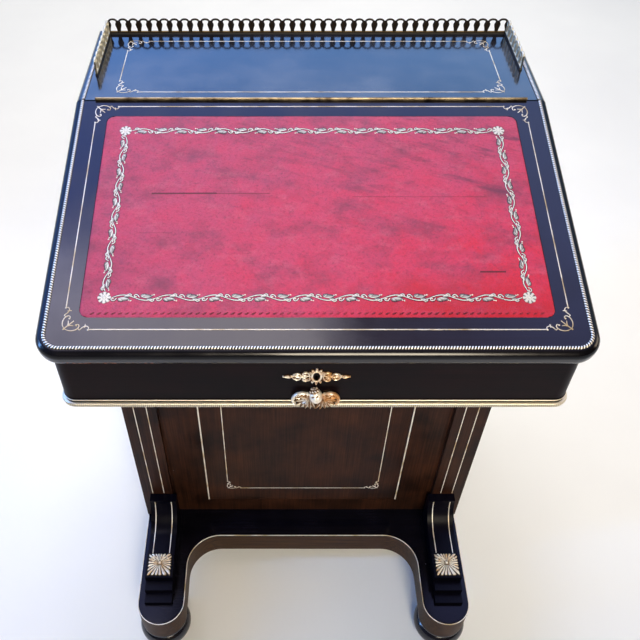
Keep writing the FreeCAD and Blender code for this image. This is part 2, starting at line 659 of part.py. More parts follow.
lid = slope_body("lid_board")
pad(lid, "XY_Plane", [[
    ("lid_width / 2", "lid_back"),
    ("-lid_width / 2", "lid_back"),
    ("-lid_width / 2", "lid_corner_y"),
    ("-lid_corner_x", "nose", "-lid_corner_x", "lid_corner_y", "left"),
    ("lid_corner_x", "nose"),
    ("lid_width / 2", "lid_corner_y", "lid_corner_x", "lid_corner_y", "left"),
]], "lid_thickness", lift="-lid_thickness")
soften(lid, "lid_top_round", outer_edge(0, value("lid_back")))
soften(lid, "lid_bottom_round", outer_edge(-value("lid_thickness"), value("lid_back")))
pocket(lid, "YZ_Plane", [[
    ("lid_back", "0"),
    ("lid_back + lid_thickness", "0"),
    ("lid_back + lid_thickness", "-lid_thickness - lid_gap"),
    ("lid_back - (lid_thickness + lid_gap) * slope_tilt", "-lid_thickness - lid_gap"),
]], "lid_width + lid_thickness", middle=True)
mortise = box_outline("-mortise_end", "mortise_y - mortise_half", "mortise_end", "mortise_y + mortise_half")
pocket(lid, "XY_Plane", [mortise], "mortise_depth", lift="-lid_thickness", back=True)
leather_x, leather_low, leather_high = "leather_width / 2", "leather_front - slope_length", "-leather_back"
corner_x = f"{leather_x} - leather_corner"
corner_low, corner_high = f"{leather_low} + leather_corner", f"{leather_high} - leather_corner"
leather_plan = [
    (f"-{leather_x}", corner_low),
    (f"-({corner_x})", leather_low, f"-({corner_x})", corner_low, "left"),
    (corner_x, leather_low),
    (leather_x, corner_low, corner_x, corner_low, "left"),
    (leather_x, corner_high),
    (corner_x, leather_high, corner_x, corner_high, "left"),
    (f"-({corner_x})", leather_high),
    (f"-{leather_x}", corner_high, f"-({corner_x})", corner_high, "left"),
]
pocket(lid, "XY_Plane", [leather_plan], "leather_thickness")
leather = slope_body("leather_panel")
pad(leather, "XY_Plane", [leather_plan], "leather_thickness", lift="-leather_thickness")
strike = slope_body("strike_plate")
strike_plan = box_outline("-strike_width / 2", "mortise_y - strike_depth / 2",
                          "strike_width / 2", "mortise_y + strike_depth / 2")
pad(strike, "XY_Plane", [strike_plan, mortise], "strike_thickness", lift="-lid_thickness - strike_thickness")

# Gilt bead round the slope's sides and front, with rounded corners.


def bead_edge(grow):
    """One edge of the bead, from its left end round the front to its right end."""
    return [
        (f"-bead_x - ({grow})", "lid_back"),
        (f"-bead_x - ({grow})", "bead_corner_y"),
        ("-bead_corner_x", f"-slope_length - ({grow})", "-bead_corner_x", "bead_corner_y", "left"),
        ("bead_corner_x", f"-slope_length - ({grow})"),
        (f"bead_x + ({grow})", "bead_corner_y", "bead_corner_x", "bead_corner_y", "left"),
        (f"bead_x + ({grow})", "lid_back"),
    ]


bead = slope_body("lid_bead")
bead_plan = bead_edge("bead_width / 2") + walked_back(bead_edge("-bead_width / 2"))
pad(bead, "XY_Plane", [bead_plan], "bead_height")
soften(bead, "bead_height - bead_flat", outer_edge(value("bead_height"), value("lid_back")))

# Long hinge: two leaves let in between the boards, knuckles that take turns, and a pin.


def hinge_leaf(label, leaf_side, first_knuckle):
    """A leaf with every other knuckle of the barrel; the leaf stops short of the other's knuckles."""
    members = []
    for number in range(int(value("hinge_knuckles"))):
        start = f"knuckle * {number} - hinge_length / 2 + hinge_gap / 2"
        size = "knuckle - hinge_gap"
        if number % 2 == first_knuckle:
            barrel = doc.addObject("Part::Cylinder", f"{label}_barrel_{number}")
            barrel.setExpression("Radius", bind("hinge_diameter / 2"))
            barrel.setExpression("Height", bind(size))
            place(barrel, (start, "hinge_y", "hinge_z + hinge_lift"), across, "90")
            members.append(barrel)
            members.append(board(f"{label}_web_{number}", (start, size), (leaf_side, "hinge_leaf"),
                                 ("hinge_z", "hinge_lift")))
    plate = board(f"{label}_plate", ("-hinge_length / 2", "hinge_length"), (leaf_side, "hinge_leaf"),
                  ("hinge_z - hinge_leaf_depth", "hinge_leaf_depth"))
    joined = doc.addObject("Part::MultiFuse", f"{label}_joined")
    joined.Shapes = [plate] + members
    bore = doc.addObject("Part::Cylinder", f"{label}_bore")
    bore.setExpression("Radius", bind("hinge_pin / 2 + pin_fit"))
    bore.setExpression("Height", bind("hinge_length + 2 * hinge_gap"))
    place(bore, ("-hinge_length / 2 - hinge_gap", "hinge_y", "hinge_z + hinge_lift"), across, "90")
    leaf = doc.addObject("Part::Cut", label)
    leaf.Label = label
    leaf.Base = joined
    leaf.Tool = bore
    return keep(leaf)


hinge_leaf("hinge_shelf_leaf", "hinge_y + hinge_gap / 2", 0)
hinge_leaf("hinge_lid_leaf", "hinge_y - leaf_gap", 1)
pin = keep(doc.addObject("Part::Cylinder", "hinge_pin"))
pin.setExpression("Radius", bind("hinge_pin / 2"))
pin.setExpression("Height", bind("hinge_length"))
place(pin, ("-hinge_length / 2", "hinge_y", "hinge_z + hinge_lift"), across, "90")

# Escutcheon: a ring round the keyhole with two leaf-shaped arms that run out to points.

escutcheon = keep(new_body("escutcheon", ("0", "box_front_y", "0")))
ring_x, ring_z = "0.4 * escutcheon_ring", "0.3 * escutcheon_ring"
arm = [
    ("escutcheon_length / 2", "keyhole_z"),
    ("escutcheon_length / 3", "keyhole_z + escutcheon_arm / 2"),
    ("escutcheon_length / 6", "keyhole_z + escutcheon_waist / 2"),
    (ring_x, f"keyhole_z + {ring_z}"),
    (f"-{ring_x}", f"keyhole_z + {ring_z}", "0", "keyhole_z", "left"),
    ("-escutcheon_length / 6", "keyhole_z + escutcheon_waist / 2"),
    ("-escutcheon_length / 3", "keyhole_z + escutcheon_arm / 2"),
    ("-escutcheon_length / 2", "keyhole_z"),
    ("-escutcheon_length / 3", "keyhole_z - escutcheon_arm / 2"),
    ("-escutcheon_length / 6", "keyhole_z - escutcheon_waist / 2"),
    (f"-{ring_x}", f"keyhole_z - {ring_z}"),
    (ring_x, f"keyhole_z - {ring_z}", "0", "keyhole_z", "left"),
    ("escutcheon_length / 6", "keyhole_z - escutcheon_waist / 2"),
    ("escutcheon_length / 3", "keyhole_z - escutcheon_arm / 2"),
]
pad(escutcheon, "XZ_Plane", [arm, keyhole], "escutcheon_thickness")

# Winged mount under the escutcheon: two spread wings and a round head, cast in one piece.

wings = keep(new_body("winged_mount", ("0", "box_front_y", "mount_z")))
half = [
    ("0.16 * wing_span", "-0.5 * wing_height"),
    ("0.4 * wing_span", "-0.2 * wing_height"),
    ("0.5 * wing_span", "0.35 * wing_height"),
    ("0.34 * wing_span", "0.5 * wing_height"),
    ("0.16 * wing_span", "0.3 * wing_height"),
]
other_half = [(f"-{u}", v) for u, v in reversed(half)]
pad(wings, "XZ_Plane", [half + other_half], "wing_thickness")
pad(wings, "XZ_Plane", [circle_outline("0", "0", "head_diameter / 2")], "head_depth")
soften(wings, "head_round", lambda edge: edge.BoundBox.YMax < 1e-4 - value("head_depth"))

# Lock on the back of the box front: a case with a slot, and a bolt that rises into the lid.

bolt_y = "box_inner_y + lock_depth / 2"
case = keep(new_body("lock_case"))
case_plan = box_outline("-lock_width / 2", "box_inner_y", "lock_width / 2", "box_inner_y + lock_depth")
pad(case, "XY_Plane", [case_plan], "lock_height", lift="lock_z")
slot = box_outline("-bolt_width / 2 - bolt_fit", f"{bolt_y} - bolt_thickness / 2 - bolt_fit",
                   "bolt_width / 2 + bolt_fit", f"{bolt_y} + bolt_thickness / 2 + bolt_fit")
pocket(case, "XY_Plane", [slot], "bolt_length - bolt_proud + runner_gap", lift="lock_top")
keep(board("lock_bolt", ("-bolt_width / 2", "bolt_width"),
           (f"{bolt_y} - bolt_thickness / 2", "bolt_thickness"),
           ("lock_top + bolt_proud - bolt_length", "bolt_length")))

# Check every object, then write each sub-part to its own file.

doc.recompute()
for item in doc.Objects:
    if "Invalid" in item.State or "Error" in item.State:
        raise RuntimeError(f"{item.Label} failed: {item.State}")
os.makedirs("parts", exist_ok=True)
for item in parts:
    if item.Shape.isNull() or not item.Shape.isValid():
        raise RuntimeError(f"{item.Label} has no valid shape")
for item in parts:
    item.Shape.exportStep(f"parts/{item.Label}.step")
print(f"{len(parts)} sub-parts written")
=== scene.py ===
import math

import bmesh
import bpy
import numpy as np
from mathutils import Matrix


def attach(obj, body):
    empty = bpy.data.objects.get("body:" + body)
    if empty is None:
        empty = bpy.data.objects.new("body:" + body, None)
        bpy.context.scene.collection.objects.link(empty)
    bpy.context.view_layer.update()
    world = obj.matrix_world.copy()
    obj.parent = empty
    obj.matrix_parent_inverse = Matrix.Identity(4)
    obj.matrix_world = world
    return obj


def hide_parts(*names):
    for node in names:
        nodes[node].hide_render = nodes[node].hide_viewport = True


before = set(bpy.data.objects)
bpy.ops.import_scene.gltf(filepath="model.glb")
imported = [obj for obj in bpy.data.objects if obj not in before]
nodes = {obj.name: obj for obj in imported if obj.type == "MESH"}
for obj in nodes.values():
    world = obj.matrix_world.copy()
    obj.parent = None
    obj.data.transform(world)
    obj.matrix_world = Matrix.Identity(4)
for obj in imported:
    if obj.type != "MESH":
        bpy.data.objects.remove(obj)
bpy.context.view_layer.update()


# Stage: a wide pale floor, a tall warm lamp behind the writer, a cool window on the left, a glow on the right
# and two panels overhead. The camera looks down at the slope from the writer's side, with the lens axis a little
# left of the middle.


def tint(text):
    """An sRGB hex colour as linear red, green, blue and one: the curve of each channel is undone."""
    channels = np.array([int(text[i:i + 2], 16) for i in (1, 3, 5)]) / 255.0
    linear = np.where(channels <= 0.04045, channels / 12.92, ((channels + 0.055) / 1.055) ** 2.4)
    return (*linear.tolist(), 1.0)


def grow(tree, kind, *feeds, stops=(), **named):
    """Add one shader node. Words that are its properties are set, and stops are the colours of its ramp. Feeds
    go to its inputs in use, in order, or by name with underscores: each is a value, a hex colour, an output, or
    a node, which gives its first output in use."""
    item = tree.nodes.new("ShaderNode" + kind)
    for word in [word for word in named if hasattr(item, word)]:
        setattr(item, word, named.pop(word))
    for number, (spot, colour) in enumerate(stops):
        ramp = item.color_ramp.elements
        stop = ramp[number] if number < len(ramp) else ramp.new(spot)
        stop.position, stop.color = spot, tint(colour) if isinstance(colour, str) else colour
    in_use = [socket for socket in item.inputs if socket.enabled]
    by_name = [item.inputs[word.replace("_", " ")] for word in named]
    for socket, feed in [*zip(in_use, feeds), *zip(by_name, named.values())]:
        if isinstance(feed, bpy.types.Node):
            feed = next(output for output in feed.outputs if output.enabled)
        if isinstance(feed, bpy.types.NodeSocket):
            tree.links.new(feed, socket)
        else:
            socket.default_value = tint(feed) if isinstance(feed, str) else feed
    return item


def new_material(name):
    """An empty material, its node tree, and the place on the piece in metres."""
    material = bpy.data.materials.new(name)
    material.use_nodes = True
    tree = material.node_tree
    tree.nodes.clear()
    return material, tree, grow(tree, "TexCoord").outputs["Object"]


def set_up(name, data):
    """A new object in the scene, at the origin."""
    item = bpy.data.objects.new(name, data)
    bpy.context.scene.collection.objects.link(item)
    return item


FOCAL_PX, FRAME_PX = 770.0, 640.0
LENS_AXIS_PX = 278.0
camera_data = bpy.data.cameras.new("writer_view")
camera_data.sensor_width = 36.0
camera_data.lens = camera_data.sensor_width * FOCAL_PX / FRAME_PX
camera_data.shift_x = (FRAME_PX / 2 - LENS_AXIS_PX) / FRAME_PX
camera = set_up("writer_view", camera_data)
camera.location = (-0.0413, -0.7510, 1.3264)
camera.rotation_euler = (math.radians(42.5), 0.0, 0.0)
bpy.context.scene.camera = camera
bpy.context.scene.view_settings.view_transform = "Standard"

# matt paper sheet: white with the faintest mottle, 0.4 m across
paper, tree, place = new_material("floor_paper")
mottle = grow(tree, "TexNoise", place, Scale=1 / 0.4, Detail=3.0)
shade = grow(tree, "ValToRGB", mottle, stops=[(0.3, "#eef1f6"), (0.7, "#f4f7fb")])
grow(tree, "OutputMaterial", Surface=grow(tree, "BsdfDiffuse", shade))

FLOOR_REACH, FLOOR_Z = 16.0, -0.0006
floor_mesh = bpy.data.meshes.new("floor")
floor_corners = [(x * FLOOR_REACH, y * FLOOR_REACH, FLOOR_Z) for x, y in ((-1, -1), (1, -1), (1, 1), (-1, 1))]
floor_mesh.from_pydata(floor_corners, [], [(0, 1, 2, 3)])
floor_mesh.materials.append(paper)
floor = set_up("floor", floor_mesh)

# soft room light: blue sky low behind the desk, which the polished top mirrors, lilac grey overhead, dark on
# the writer's side, and all of it bluer on the left and browner on the right; matt surfaces are lit by it as
# plain grey
world = bpy.data.worlds.new("soft_sky")
world.use_nodes = True
bpy.context.scene.world = world
tree = world.node_tree
tree.nodes.clear()
way = grow(tree, "SeparateXYZ", grow(tree, "TexCoord").outputs["Generated"])
beyond = grow(tree, "ValToRGB", way.outputs[2], stops=[
    (0.0, (0.34, 0.36, 0.40, 1)), (0.22, (0.26, 0.42, 0.64, 1)), (0.40, (0.20, 0.45, 0.95, 1)),
    (0.60, (0.20, 0.38, 0.80, 1)), (0.74, (0.36, 0.58, 1.25, 1)), (0.88, (0.44, 0.58, 1.45, 1)),
    (0.955, (0.30, 0.24, 0.36, 1)), (1.0, (0.22, 0.17, 0.22, 1))])
near = grow(tree, "ValToRGB", way.outputs[2], stops=[
    (0.0, (0.05, 0.045, 0.04, 1)), (0.9, (0.04, 0.035, 0.035, 1)), (1.0, (0.16, 0.14, 0.18, 1))])
turned = grow(tree, "MapRange", way.outputs[1], From_Min=-0.1, From_Max=0.35, interpolation_type="SMOOTHSTEP")
sky = grow(tree, "Mix", turned, near, beyond, data_type="RGBA")
aside = grow(tree, "MapRange", way.outputs[0], From_Min=-0.8, From_Max=0.8)
cast = grow(tree, "Mix", aside, (0.70, 0.95, 1.40, 1), (1.30, 1.05, 0.75, 1), data_type="RGBA")
mixed = grow(tree, "Mix", 1.0, sky, cast, data_type="RGBA", blend_type="MULTIPLY")
level = grow(tree, "ValToRGB", aside, stops=[
    (spot, (grey, grey, grey, 1))
    for spot, grey in ((0.0, 0.9), (0.12, 0.75), (0.22, 0.5), (0.3, 1.0), (0.72, 1.0), (0.88, 0.28))])
shaped = grow(tree, "Math", level, 2.5, operation="MULTIPLY")
ray = grow(tree, "LightPath")
mirrored = grow(tree, "Math", ray.outputs["Is Camera Ray"], ray.outputs["Is Glossy Ray"], operation="ADD")
pictured = grow(tree, "Math", mirrored, ray.outputs["Is Transmission Ray"], operation="ADD", use_clamp=True)
shown = grow(tree, "Mix", pictured, grow(tree, "RGBToBW", mixed), mixed, data_type="RGBA")
grow(tree, "OutputWorld", Surface=grow(tree, "Background", Color=shown, Strength=shaped))


def soft_lamp(name, place, aim, wide, tall, spread, watts, colour):
    """A soft lamp with straight edges, which faces the point it is aimed at and keeps within a cone."""
    lamp = bpy.data.lights.new(name, "AREA")
    lamp.shape, lamp.size, lamp.size_y, lamp.spread = "RECTANGLE", wide, tall, math.radians(spread)
    lamp.energy, lamp.color = watts, tint(colour)[:3]
    holder = set_up(name, lamp)
    holder.location = place
    across, along, down = (target - start for target, start in zip(aim, place))
    holder.rotation_euler = (math.atan2(math.hypot(across, along), -down), 0.0, math.atan2(-across, along))


soft_lamp("warm_lamp", place=(0.32, -1.9, 1.95), aim=(0.1, -0.1, 0.7), wide=0.75, tall=1.15, spread=56.0,
          watts=6.6, colour="#fff0d6")
soft_lamp("left_window", place=(-1.7, -0.3, 1.2), aim=(-0.2, 0.0, 0.6), wide=0.2, tall=1.2, spread=80.0,
          watts=4.6, colour="#7cb4ff")
soft_lamp("right_glow", place=(2.4, 0.0, 1.6), aim=(0.0, 0.3, 0.2), wide=1.0, tall=1.2, spread=110.0,
          watts=5.4, colour="#ffe9cf")
soft_lamp("ceiling_panel", place=(-0.45, 0.2, 2.3), aim=(-0.45, 0.21, 0.0), wide=1.15, tall=0.6, spread=120.0,
          watts=5.6, colour="#fdf4fc")
soft_lamp("back_panel", place=(0.0, 2.2, 2.6), aim=(0.0, 2.21, 0.0), wide=2.6, tall=1.0, spread=160.0,
          watts=31.0, colour="#fdfaf5")


# Bun feet, plinth and pedestal: mahogany stained black and French polished, with brown showing where
# the stain is thin. The pedestal's brown all over is a painted reflection of a warm floor in the polish, and
# the brown of the plinth's edges is painted warm light. The feet are turned, the boards are glued up, and
# the pedestal stands on the plinth.


def grained(tree, place, axis, wide, long, detail, rough):
    """Noise drawn out into streaks, wide across and long along the grain axis (0, 1, 2), both in metres."""
    stretch = [1 / (long if number == axis else wide) for number in range(3)]
    streaks = grow(tree, "Mapping", place, Scale=stretch)
    return grow(tree, "TexNoise", streaks, Scale=1.0, Detail=detail, Roughness=rough)


def surfaced(material, height, strength, depth, **feeds):
    """Close a material: a bump by the height, one surface shader with the given feeds, and the output."""
    tree = material.node_tree
    relief = grow(tree, "Bump", Height=height, Strength=strength, Distance=depth)
    grow(tree, "OutputMaterial", Surface=grow(tree, "BsdfPrincipled", Normal=relief, **feeds))
    return material


def ebonised(name, grain, deep, thin, gloss, shine, coat=0.0, bare=None, wood=("#4a2414", "#7a4224", "#96592f"),
             wood_grain=0):
    """Black-stained polished wood. Streaks run along the grain axis, cloudy patches let the brown wood through,
    pale specks are chips. Where bare(tree, place) is 1 the board keeps the colours of its wood, with streaks
    along the wood's own grain axis: bare wood inside the box, under the lid and on drawer sides, and painted
    warm light on the plinth's edges."""
    material, tree, place = new_material(name)
    # streaks 2.5 mm wide and 120 mm long, coarser than real pores, so that they show
    pores = grained(tree, place, grain, wide=0.0025, long=0.12, detail=5.0, rough=0.65)
    clouds = grow(tree, "TexNoise", place, Scale=1 / 0.07, Detail=4.0, Roughness=0.6)
    patch = grow(tree, "Math", pores, clouds, operation="MULTIPLY")
    stain = grow(tree, "ValToRGB", patch, stops=[(0.16, deep), (0.42, thin)])
    # chips in the polish: one cell in six of a 35 mm net has a fleck under a millimetre wide
    net = grow(tree, "TexVoronoi", place, Scale=1 / 0.035)
    fleck = grow(tree, "Math", net, 0.018, operation="LESS_THAN")
    luck = grow(tree, "SeparateXYZ", net.outputs["Color"])
    lucky = grow(tree, "Math", luck, 0.84, operation="GREATER_THAN")
    chip = grow(tree, "Math", fleck, lucky, operation="MULTIPLY")
    colour = grow(tree, "Mix", chip, stain, "#8d8791", data_type="RGBA")
    rough = grow(tree, "MapRange", clouds, From_Min=0.3, From_Max=0.7, To_Min=gloss - 0.05, To_Max=gloss + 0.1)
    if bare:
        figure = grained(tree, place, wood_grain, wide=0.0025, long=0.12, detail=5.0, rough=0.65)
        plain = grow(tree, "ValToRGB", figure, stops=zip((0.3, 0.5, 0.72), wood))
        inside = bare(tree, place)
        colour = grow(tree, "Mix", inside, colour, plain, data_type="RGBA")
        rough = grow(tree, "Mix", inside, rough, 0.5)
    return surfaced(material, pores, strength=0.12, depth=0.0003, Base_Color=colour, Roughness=rough,
                    Specular_IOR_Level=shine, Coat_Weight=coat, Coat_Roughness=0.06)


def finish(material, *names):
    """Give the named solids one material in place of the one they came with."""
    for name in names:
        slots = nodes[name].data.materials
        slots.clear()
        slots.append(material)


def behind(axis, limit):
    """Marks the wood below a limit in metres along an axis: a drawer's bare sides behind its black front, and the
    plinth below its top, where the brown is painted warm light.
    """
    def bare(tree, place):
        spots = grow(tree, "SeparateXYZ", place)
        return grow(tree, "Math", spots.outputs[axis], limit, operation="LESS_THAN")
    return bare


turned_ebony = ebonised("ebonised_turnings", 2, "#070811", "#141220", gloss=0.2, shine=0.5, coat=0.3)
scroll_ebony = ebonised("ebonised_scroll_feet", 1, "#03030a", "#0a0914", gloss=0.3, shine=0.08)
# plinth: black on top; the wood colours below its top are painted warm light on its edges
plinth_ebony = ebonised("ebonised_plinth", 0, "#04040a", "#0e0d16", gloss=0.16, shine=0.16,
                        bare=behind(axis=2, limit=0.0925), wood=("#1b0d05", "#352010", "#54371c"))
# pedestal: both tones are brown, a painted reflection of a warm floor in the black polish
pedestal_ebony_painted_brown = ebonised("ebonised_pedestal_painted_reflection", 2, "#1a0e0a", "#43271a", gloss=0.34, shine=0.1)
finish(turned_ebony, "foot_front_left", "foot_front_right", "foot_back_left", "foot_back_right", "dummy_knobs",
       *[f"drawer_{number}_knobs" for number in range(1, 5)])
finish(plinth_ebony, "plinth")
finish(scroll_ebony, "scroll_foot_left", "scroll_foot_right")
finish(pedestal_ebony_painted_brown, "pedestal_front", "front_tablet", "pilaster_left", "pilaster_right", "pedestal_left_side",
       "pedestal_back", "front_stile", "back_stile", "dummy_fronts")


# Pale brass line let into the plinth's top edge, all round the front: a drawn wire, half sunk in a groove.
# It follows the two round-ended arms and the hollow between them.


def lay_surface(name, patches, material, body, hides=(), shut=True):
    """One piece from grids of points in millimetres. A patch is (points, relief), then whether its rows and
    columns join: unless it says so, only the columns do. Points are rows x columns x 3, with any number of
    copies in front; relief is 0 in hollows and 1 on crests."""
    spots, corners, crests, start = [], [], [], 0
    for points, relief, *joins in patches:
        rows_joined, columns_joined = joins or (False, True)
        points = np.asarray(points, float)
        points = points.reshape(-1, *points.shape[-3:])
        number = start + np.arange(points[..., 0].size).reshape(points.shape[:3])
        number = np.concatenate([number, number[:, :1]], axis=1) if rows_joined else number
        number = np.concatenate([number, number[:, :, :1]], axis=2) if columns_joined else number
        cells = [number[:, :-1, :-1], number[:, :-1, 1:], number[:, 1:, 1:], number[:, 1:, :-1]]
        corners.append(np.stack(cells, axis=-1).reshape(-1, 4))
        spots.append(points.reshape(-1, 3))
        crests.append(np.broadcast_to(relief, points.shape[:3]).reshape(-1))
        start += points[..., 0].size
    corners = np.concatenate(corners)
    mesh = bpy.data.meshes.new(name)
    mesh.vertices.add(start)
    mesh.vertices.foreach_set("co", (np.concatenate(spots) * 0.001).ravel())
    mesh.loops.add(corners.size)
    mesh.loops.foreach_set("vertex_index", corners.ravel())
    mesh.polygons.add(len(corners))
    mesh.polygons.foreach_set("loop_start", np.arange(0, corners.size, 4))
    mesh.update(calc_edges=True)
    mesh.attributes.new("relief", "FLOAT", "POINT").data.foreach_set("value", np.concatenate(crests))
    working = bmesh.new()
    working.from_mesh(mesh)
    bmesh.ops.remove_doubles(working, verts=working.verts, dist=2e-6)
    bmesh.ops.dissolve_degenerate(working, edges=working.edges, dist=1e-7)
    if shut:
        bmesh.ops.recalc_face_normals(working, faces=working.faces)
    working.to_mesh(mesh)
    working.free()
    mesh.polygons.foreach_set("use_smooth", np.ones(len(mesh.polygons), bool))
    mesh.set_sharp_from_angle(angle=math.radians(48))
    mesh.materials.append(material)
    piece = set_up(name, mesh)
    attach(piece, body)
    if hides:
        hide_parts(*hides)
    return piece


def turns(count):
    """The angles of a full turn in equal steps."""
    return np.arange(count) / count * 2 * np.pi


def polar(out, angle):
    """Points round a middle: the way out times the cosine and the sine of the angle."""
    return np.stack([out * np.cos(angle), out * np.sin(angle)], axis=-1)


def arc(x, y, radius, begin, end):
    """Points of a circle from one angle to another, in degrees."""
    return np.array([x, y]) + polar(radius, np.radians(np.linspace(begin, end, 24)))


def both_halves(*pieces):
    """A whole plan from the pieces of its right half, mirrored over the middle in backward order."""
    half = np.concatenate(pieces)
    return np.concatenate([half, half[::-1] * [-1.0, 1.0]])


def level_at(plan, height):
    """The points of a plan, all at one height."""
    return np.column_stack([plan, np.full(len(plan), height)])


def even(path, step):
    """The same line with points a step apart: each coordinate is read off against the length run so far."""
    run = np.concatenate([[0.0], np.cumsum(np.linalg.norm(np.diff(path, axis=0), axis=1))])
    marks = np.linspace(0.0, run[-1], max(2, int(round(run[-1] / step)) + 1))
    return np.stack([np.interp(marks, run, column) for column in path.T], axis=-1), marks


def heading(path):
    """Unit direction of the line at each point, from its neighbours on both sides."""
    way = np.gradient(path, axis=0)
    return way / np.linalg.norm(way, axis=-1, keepdims=True)


def square_to(path, lift):
    """Unit vectors to the side of a line and upwards, at each point: both square to its run."""
    run = heading(path)
    side = np.cross(run, lift)
    side /= np.linalg.norm(side, axis=-1, keepdims=True)
    return side[:, None], np.cross(side, run)[:, None]


def capped(grid):
    """Close both ends of a tube by drawing its first and last rows in to their middles."""
    middle = grid[..., [0, -1], :, :].mean(axis=-2, keepdims=True) + np.zeros_like(grid[..., [0, -1], :, :])
    return np.concatenate([middle[..., :1, :, :], grid, middle[..., 1:, :, :]], axis=-3)


def tube(path, lift, wide, high, count=8):
    """A wire along a line: an ellipse, wide across and high along lift, carried square to the line's run."""
    side, rise = square_to(path, lift)
    angle = turns(count)[:, None]
    wide, high = (np.broadcast_to(size, len(path))[:, None, None] for size in (wide, high))
    return capped(path[:, None] + side * wide * np.cos(angle) + rise * high * np.sin(angle))


def pale_brass(name, bright, dull):
    """Drawn brass stringing, cleaned pale: light along its length with duller, browner stretches."""
    material, tree, place = new_material(name)
    drift = grow(tree, "TexNoise", place, Scale=1 / 0.03, Detail=4.0)
    colour = grow(tree, "ValToRGB", drift, stops=[(0.36, dull), (0.52, bright)])
    file_marks = grow(tree, "TexNoise", place, Scale=1 / 0.0012, Detail=2.0)
    rough = grow(tree, "MapRange", drift, To_Min=0.5, To_Max=0.3)
    return surfaced(material, file_marks, strength=0.2, depth=0.0002, Base_Color=colour, Metallic=0.3,
                    Roughness=rough)


ACROSS, UP = np.array([1.0, 0.0, 0.0]), np.array([0.0, 0.0, 1.0])
LID_Y = -238.884
PLINTH_TOP, LINE_BACK, EDGE_INSET, LINE_RADIUS = 95.0, LID_Y + 150.0, 0.9, 0.75
ARM_X, ARM_END, ARM_RADIUS = 231.25, LID_Y - 4.25, 37.75 - EDGE_INSET
HOLLOW_X, HOLLOW_Y, HOLLOW_RADIUS = 139.5, LID_Y + 57.5, 54.0 + EDGE_INSET
plan, _ = even(both_halves([[ARM_X + ARM_RADIUS, LINE_BACK]],
                           arc(ARM_X, ARM_END, ARM_RADIUS, 0.0, -180.0),
                           arc(HOLLOW_X, HOLLOW_Y, HOLLOW_RADIUS, 0.0, 90.0)), 3.0)
# stringing brass in its lighter tone: painted light for the upright faces, which get less light than the top
pedestal_stringing_painted_light = pale_brass("brass_stringing", "#f3ede0", "#cbb38a")
plinth_line = tube(level_at(plan, PLINTH_TOP - EDGE_INSET), UP, LINE_RADIUS, LINE_RADIUS, 6)
lay_surface("plinth_edge_line", [(plinth_line, 1.0)], pedestal_stringing_painted_light, "carcass")


# Stringing on the pedestal: two brass lines down each pilaster and scroll foot, and a framed panel on the
# tablet with a curled ornament in its lower corners. Strips are pressed into scratched grooves and filed flush.


def plane(origin, across, up):
    """A drawing board in space: (u, v) and a height become origin + u across + v up + height off the board."""
    origin, across, up = (np.array(item, float) for item in (origin, across, up))
    off = np.cross(across, up)
    return lambda flat, height: (origin + flat[..., :1] * across + flat[..., 1:2] * up
                                 + np.asarray(height, float)[..., None] * off)


def inlay(board, path, wide, proud=0.25):
    """A filed strip along a drawn line: a low crowned section, square to the line, from under the surface."""
    run = heading(path)
    side = np.stack([-run[:, 1], run[:, 0]], axis=-1)
    shares = np.array([-0.5, -0.5, -0.25, 0.25, 0.5, 0.5])
    heights = proud * np.array([-1.0, 0.5, 1.0, 1.0, 0.5, -1.0])
    wide = np.broadcast_to(wide, len(path))[:, None, None]
    flat = path[:, None] + side[:, None] * wide * shares[:, None]
    return capped(board(flat, np.broadcast_to(heights, flat.shape[:2])))


def straight(board, start, end, wide):
    """A straight strip between two points of a board."""
    return inlay(board, np.linspace(start, end, 6), wide), 1.0


def studs(board, spots, radius, proud=0.45):
    """Small round studs: each is a dome whose height falls off as the cosine of the way out."""
    spots = np.asarray(spots, float).reshape(-1, 1, 1, 2)
    out, angle = np.linspace(0.0, 1.0, 4)[:, None], turns(10)
    radius = np.broadcast_to(radius, len(spots))[:, None, None, None]
    height = proud * np.cos(out * np.pi / 2) + 0 * angle - 0.02
    return board(spots + polar(out, angle) * radius, np.broadcast_to(height, (len(spots), *height.shape)))


def flowing(points, count=28):
    """A smooth line through given points: cubic pieces whose slope at a point follows its two neighbours."""
    points = np.asarray(points, float)
    padded = np.concatenate([2 * points[:1] - points[1:2], points, 2 * points[-1:] - points[-2:-1]])
    spot = np.linspace(0.0, len(points) - 1.0, count)
    piece = np.minimum(spot.astype(int), len(points) - 2)
    share = (spot - piece)[:, None]
    before, begin, end, after = (padded[piece + step] for step in range(4))
    return 0.5 * (2 * begin + (end - before) * share + (2 * before - 5 * begin + 4 * end - after) * share ** 2
                  + (3 * begin - before - 3 * end + after) * share ** 3)


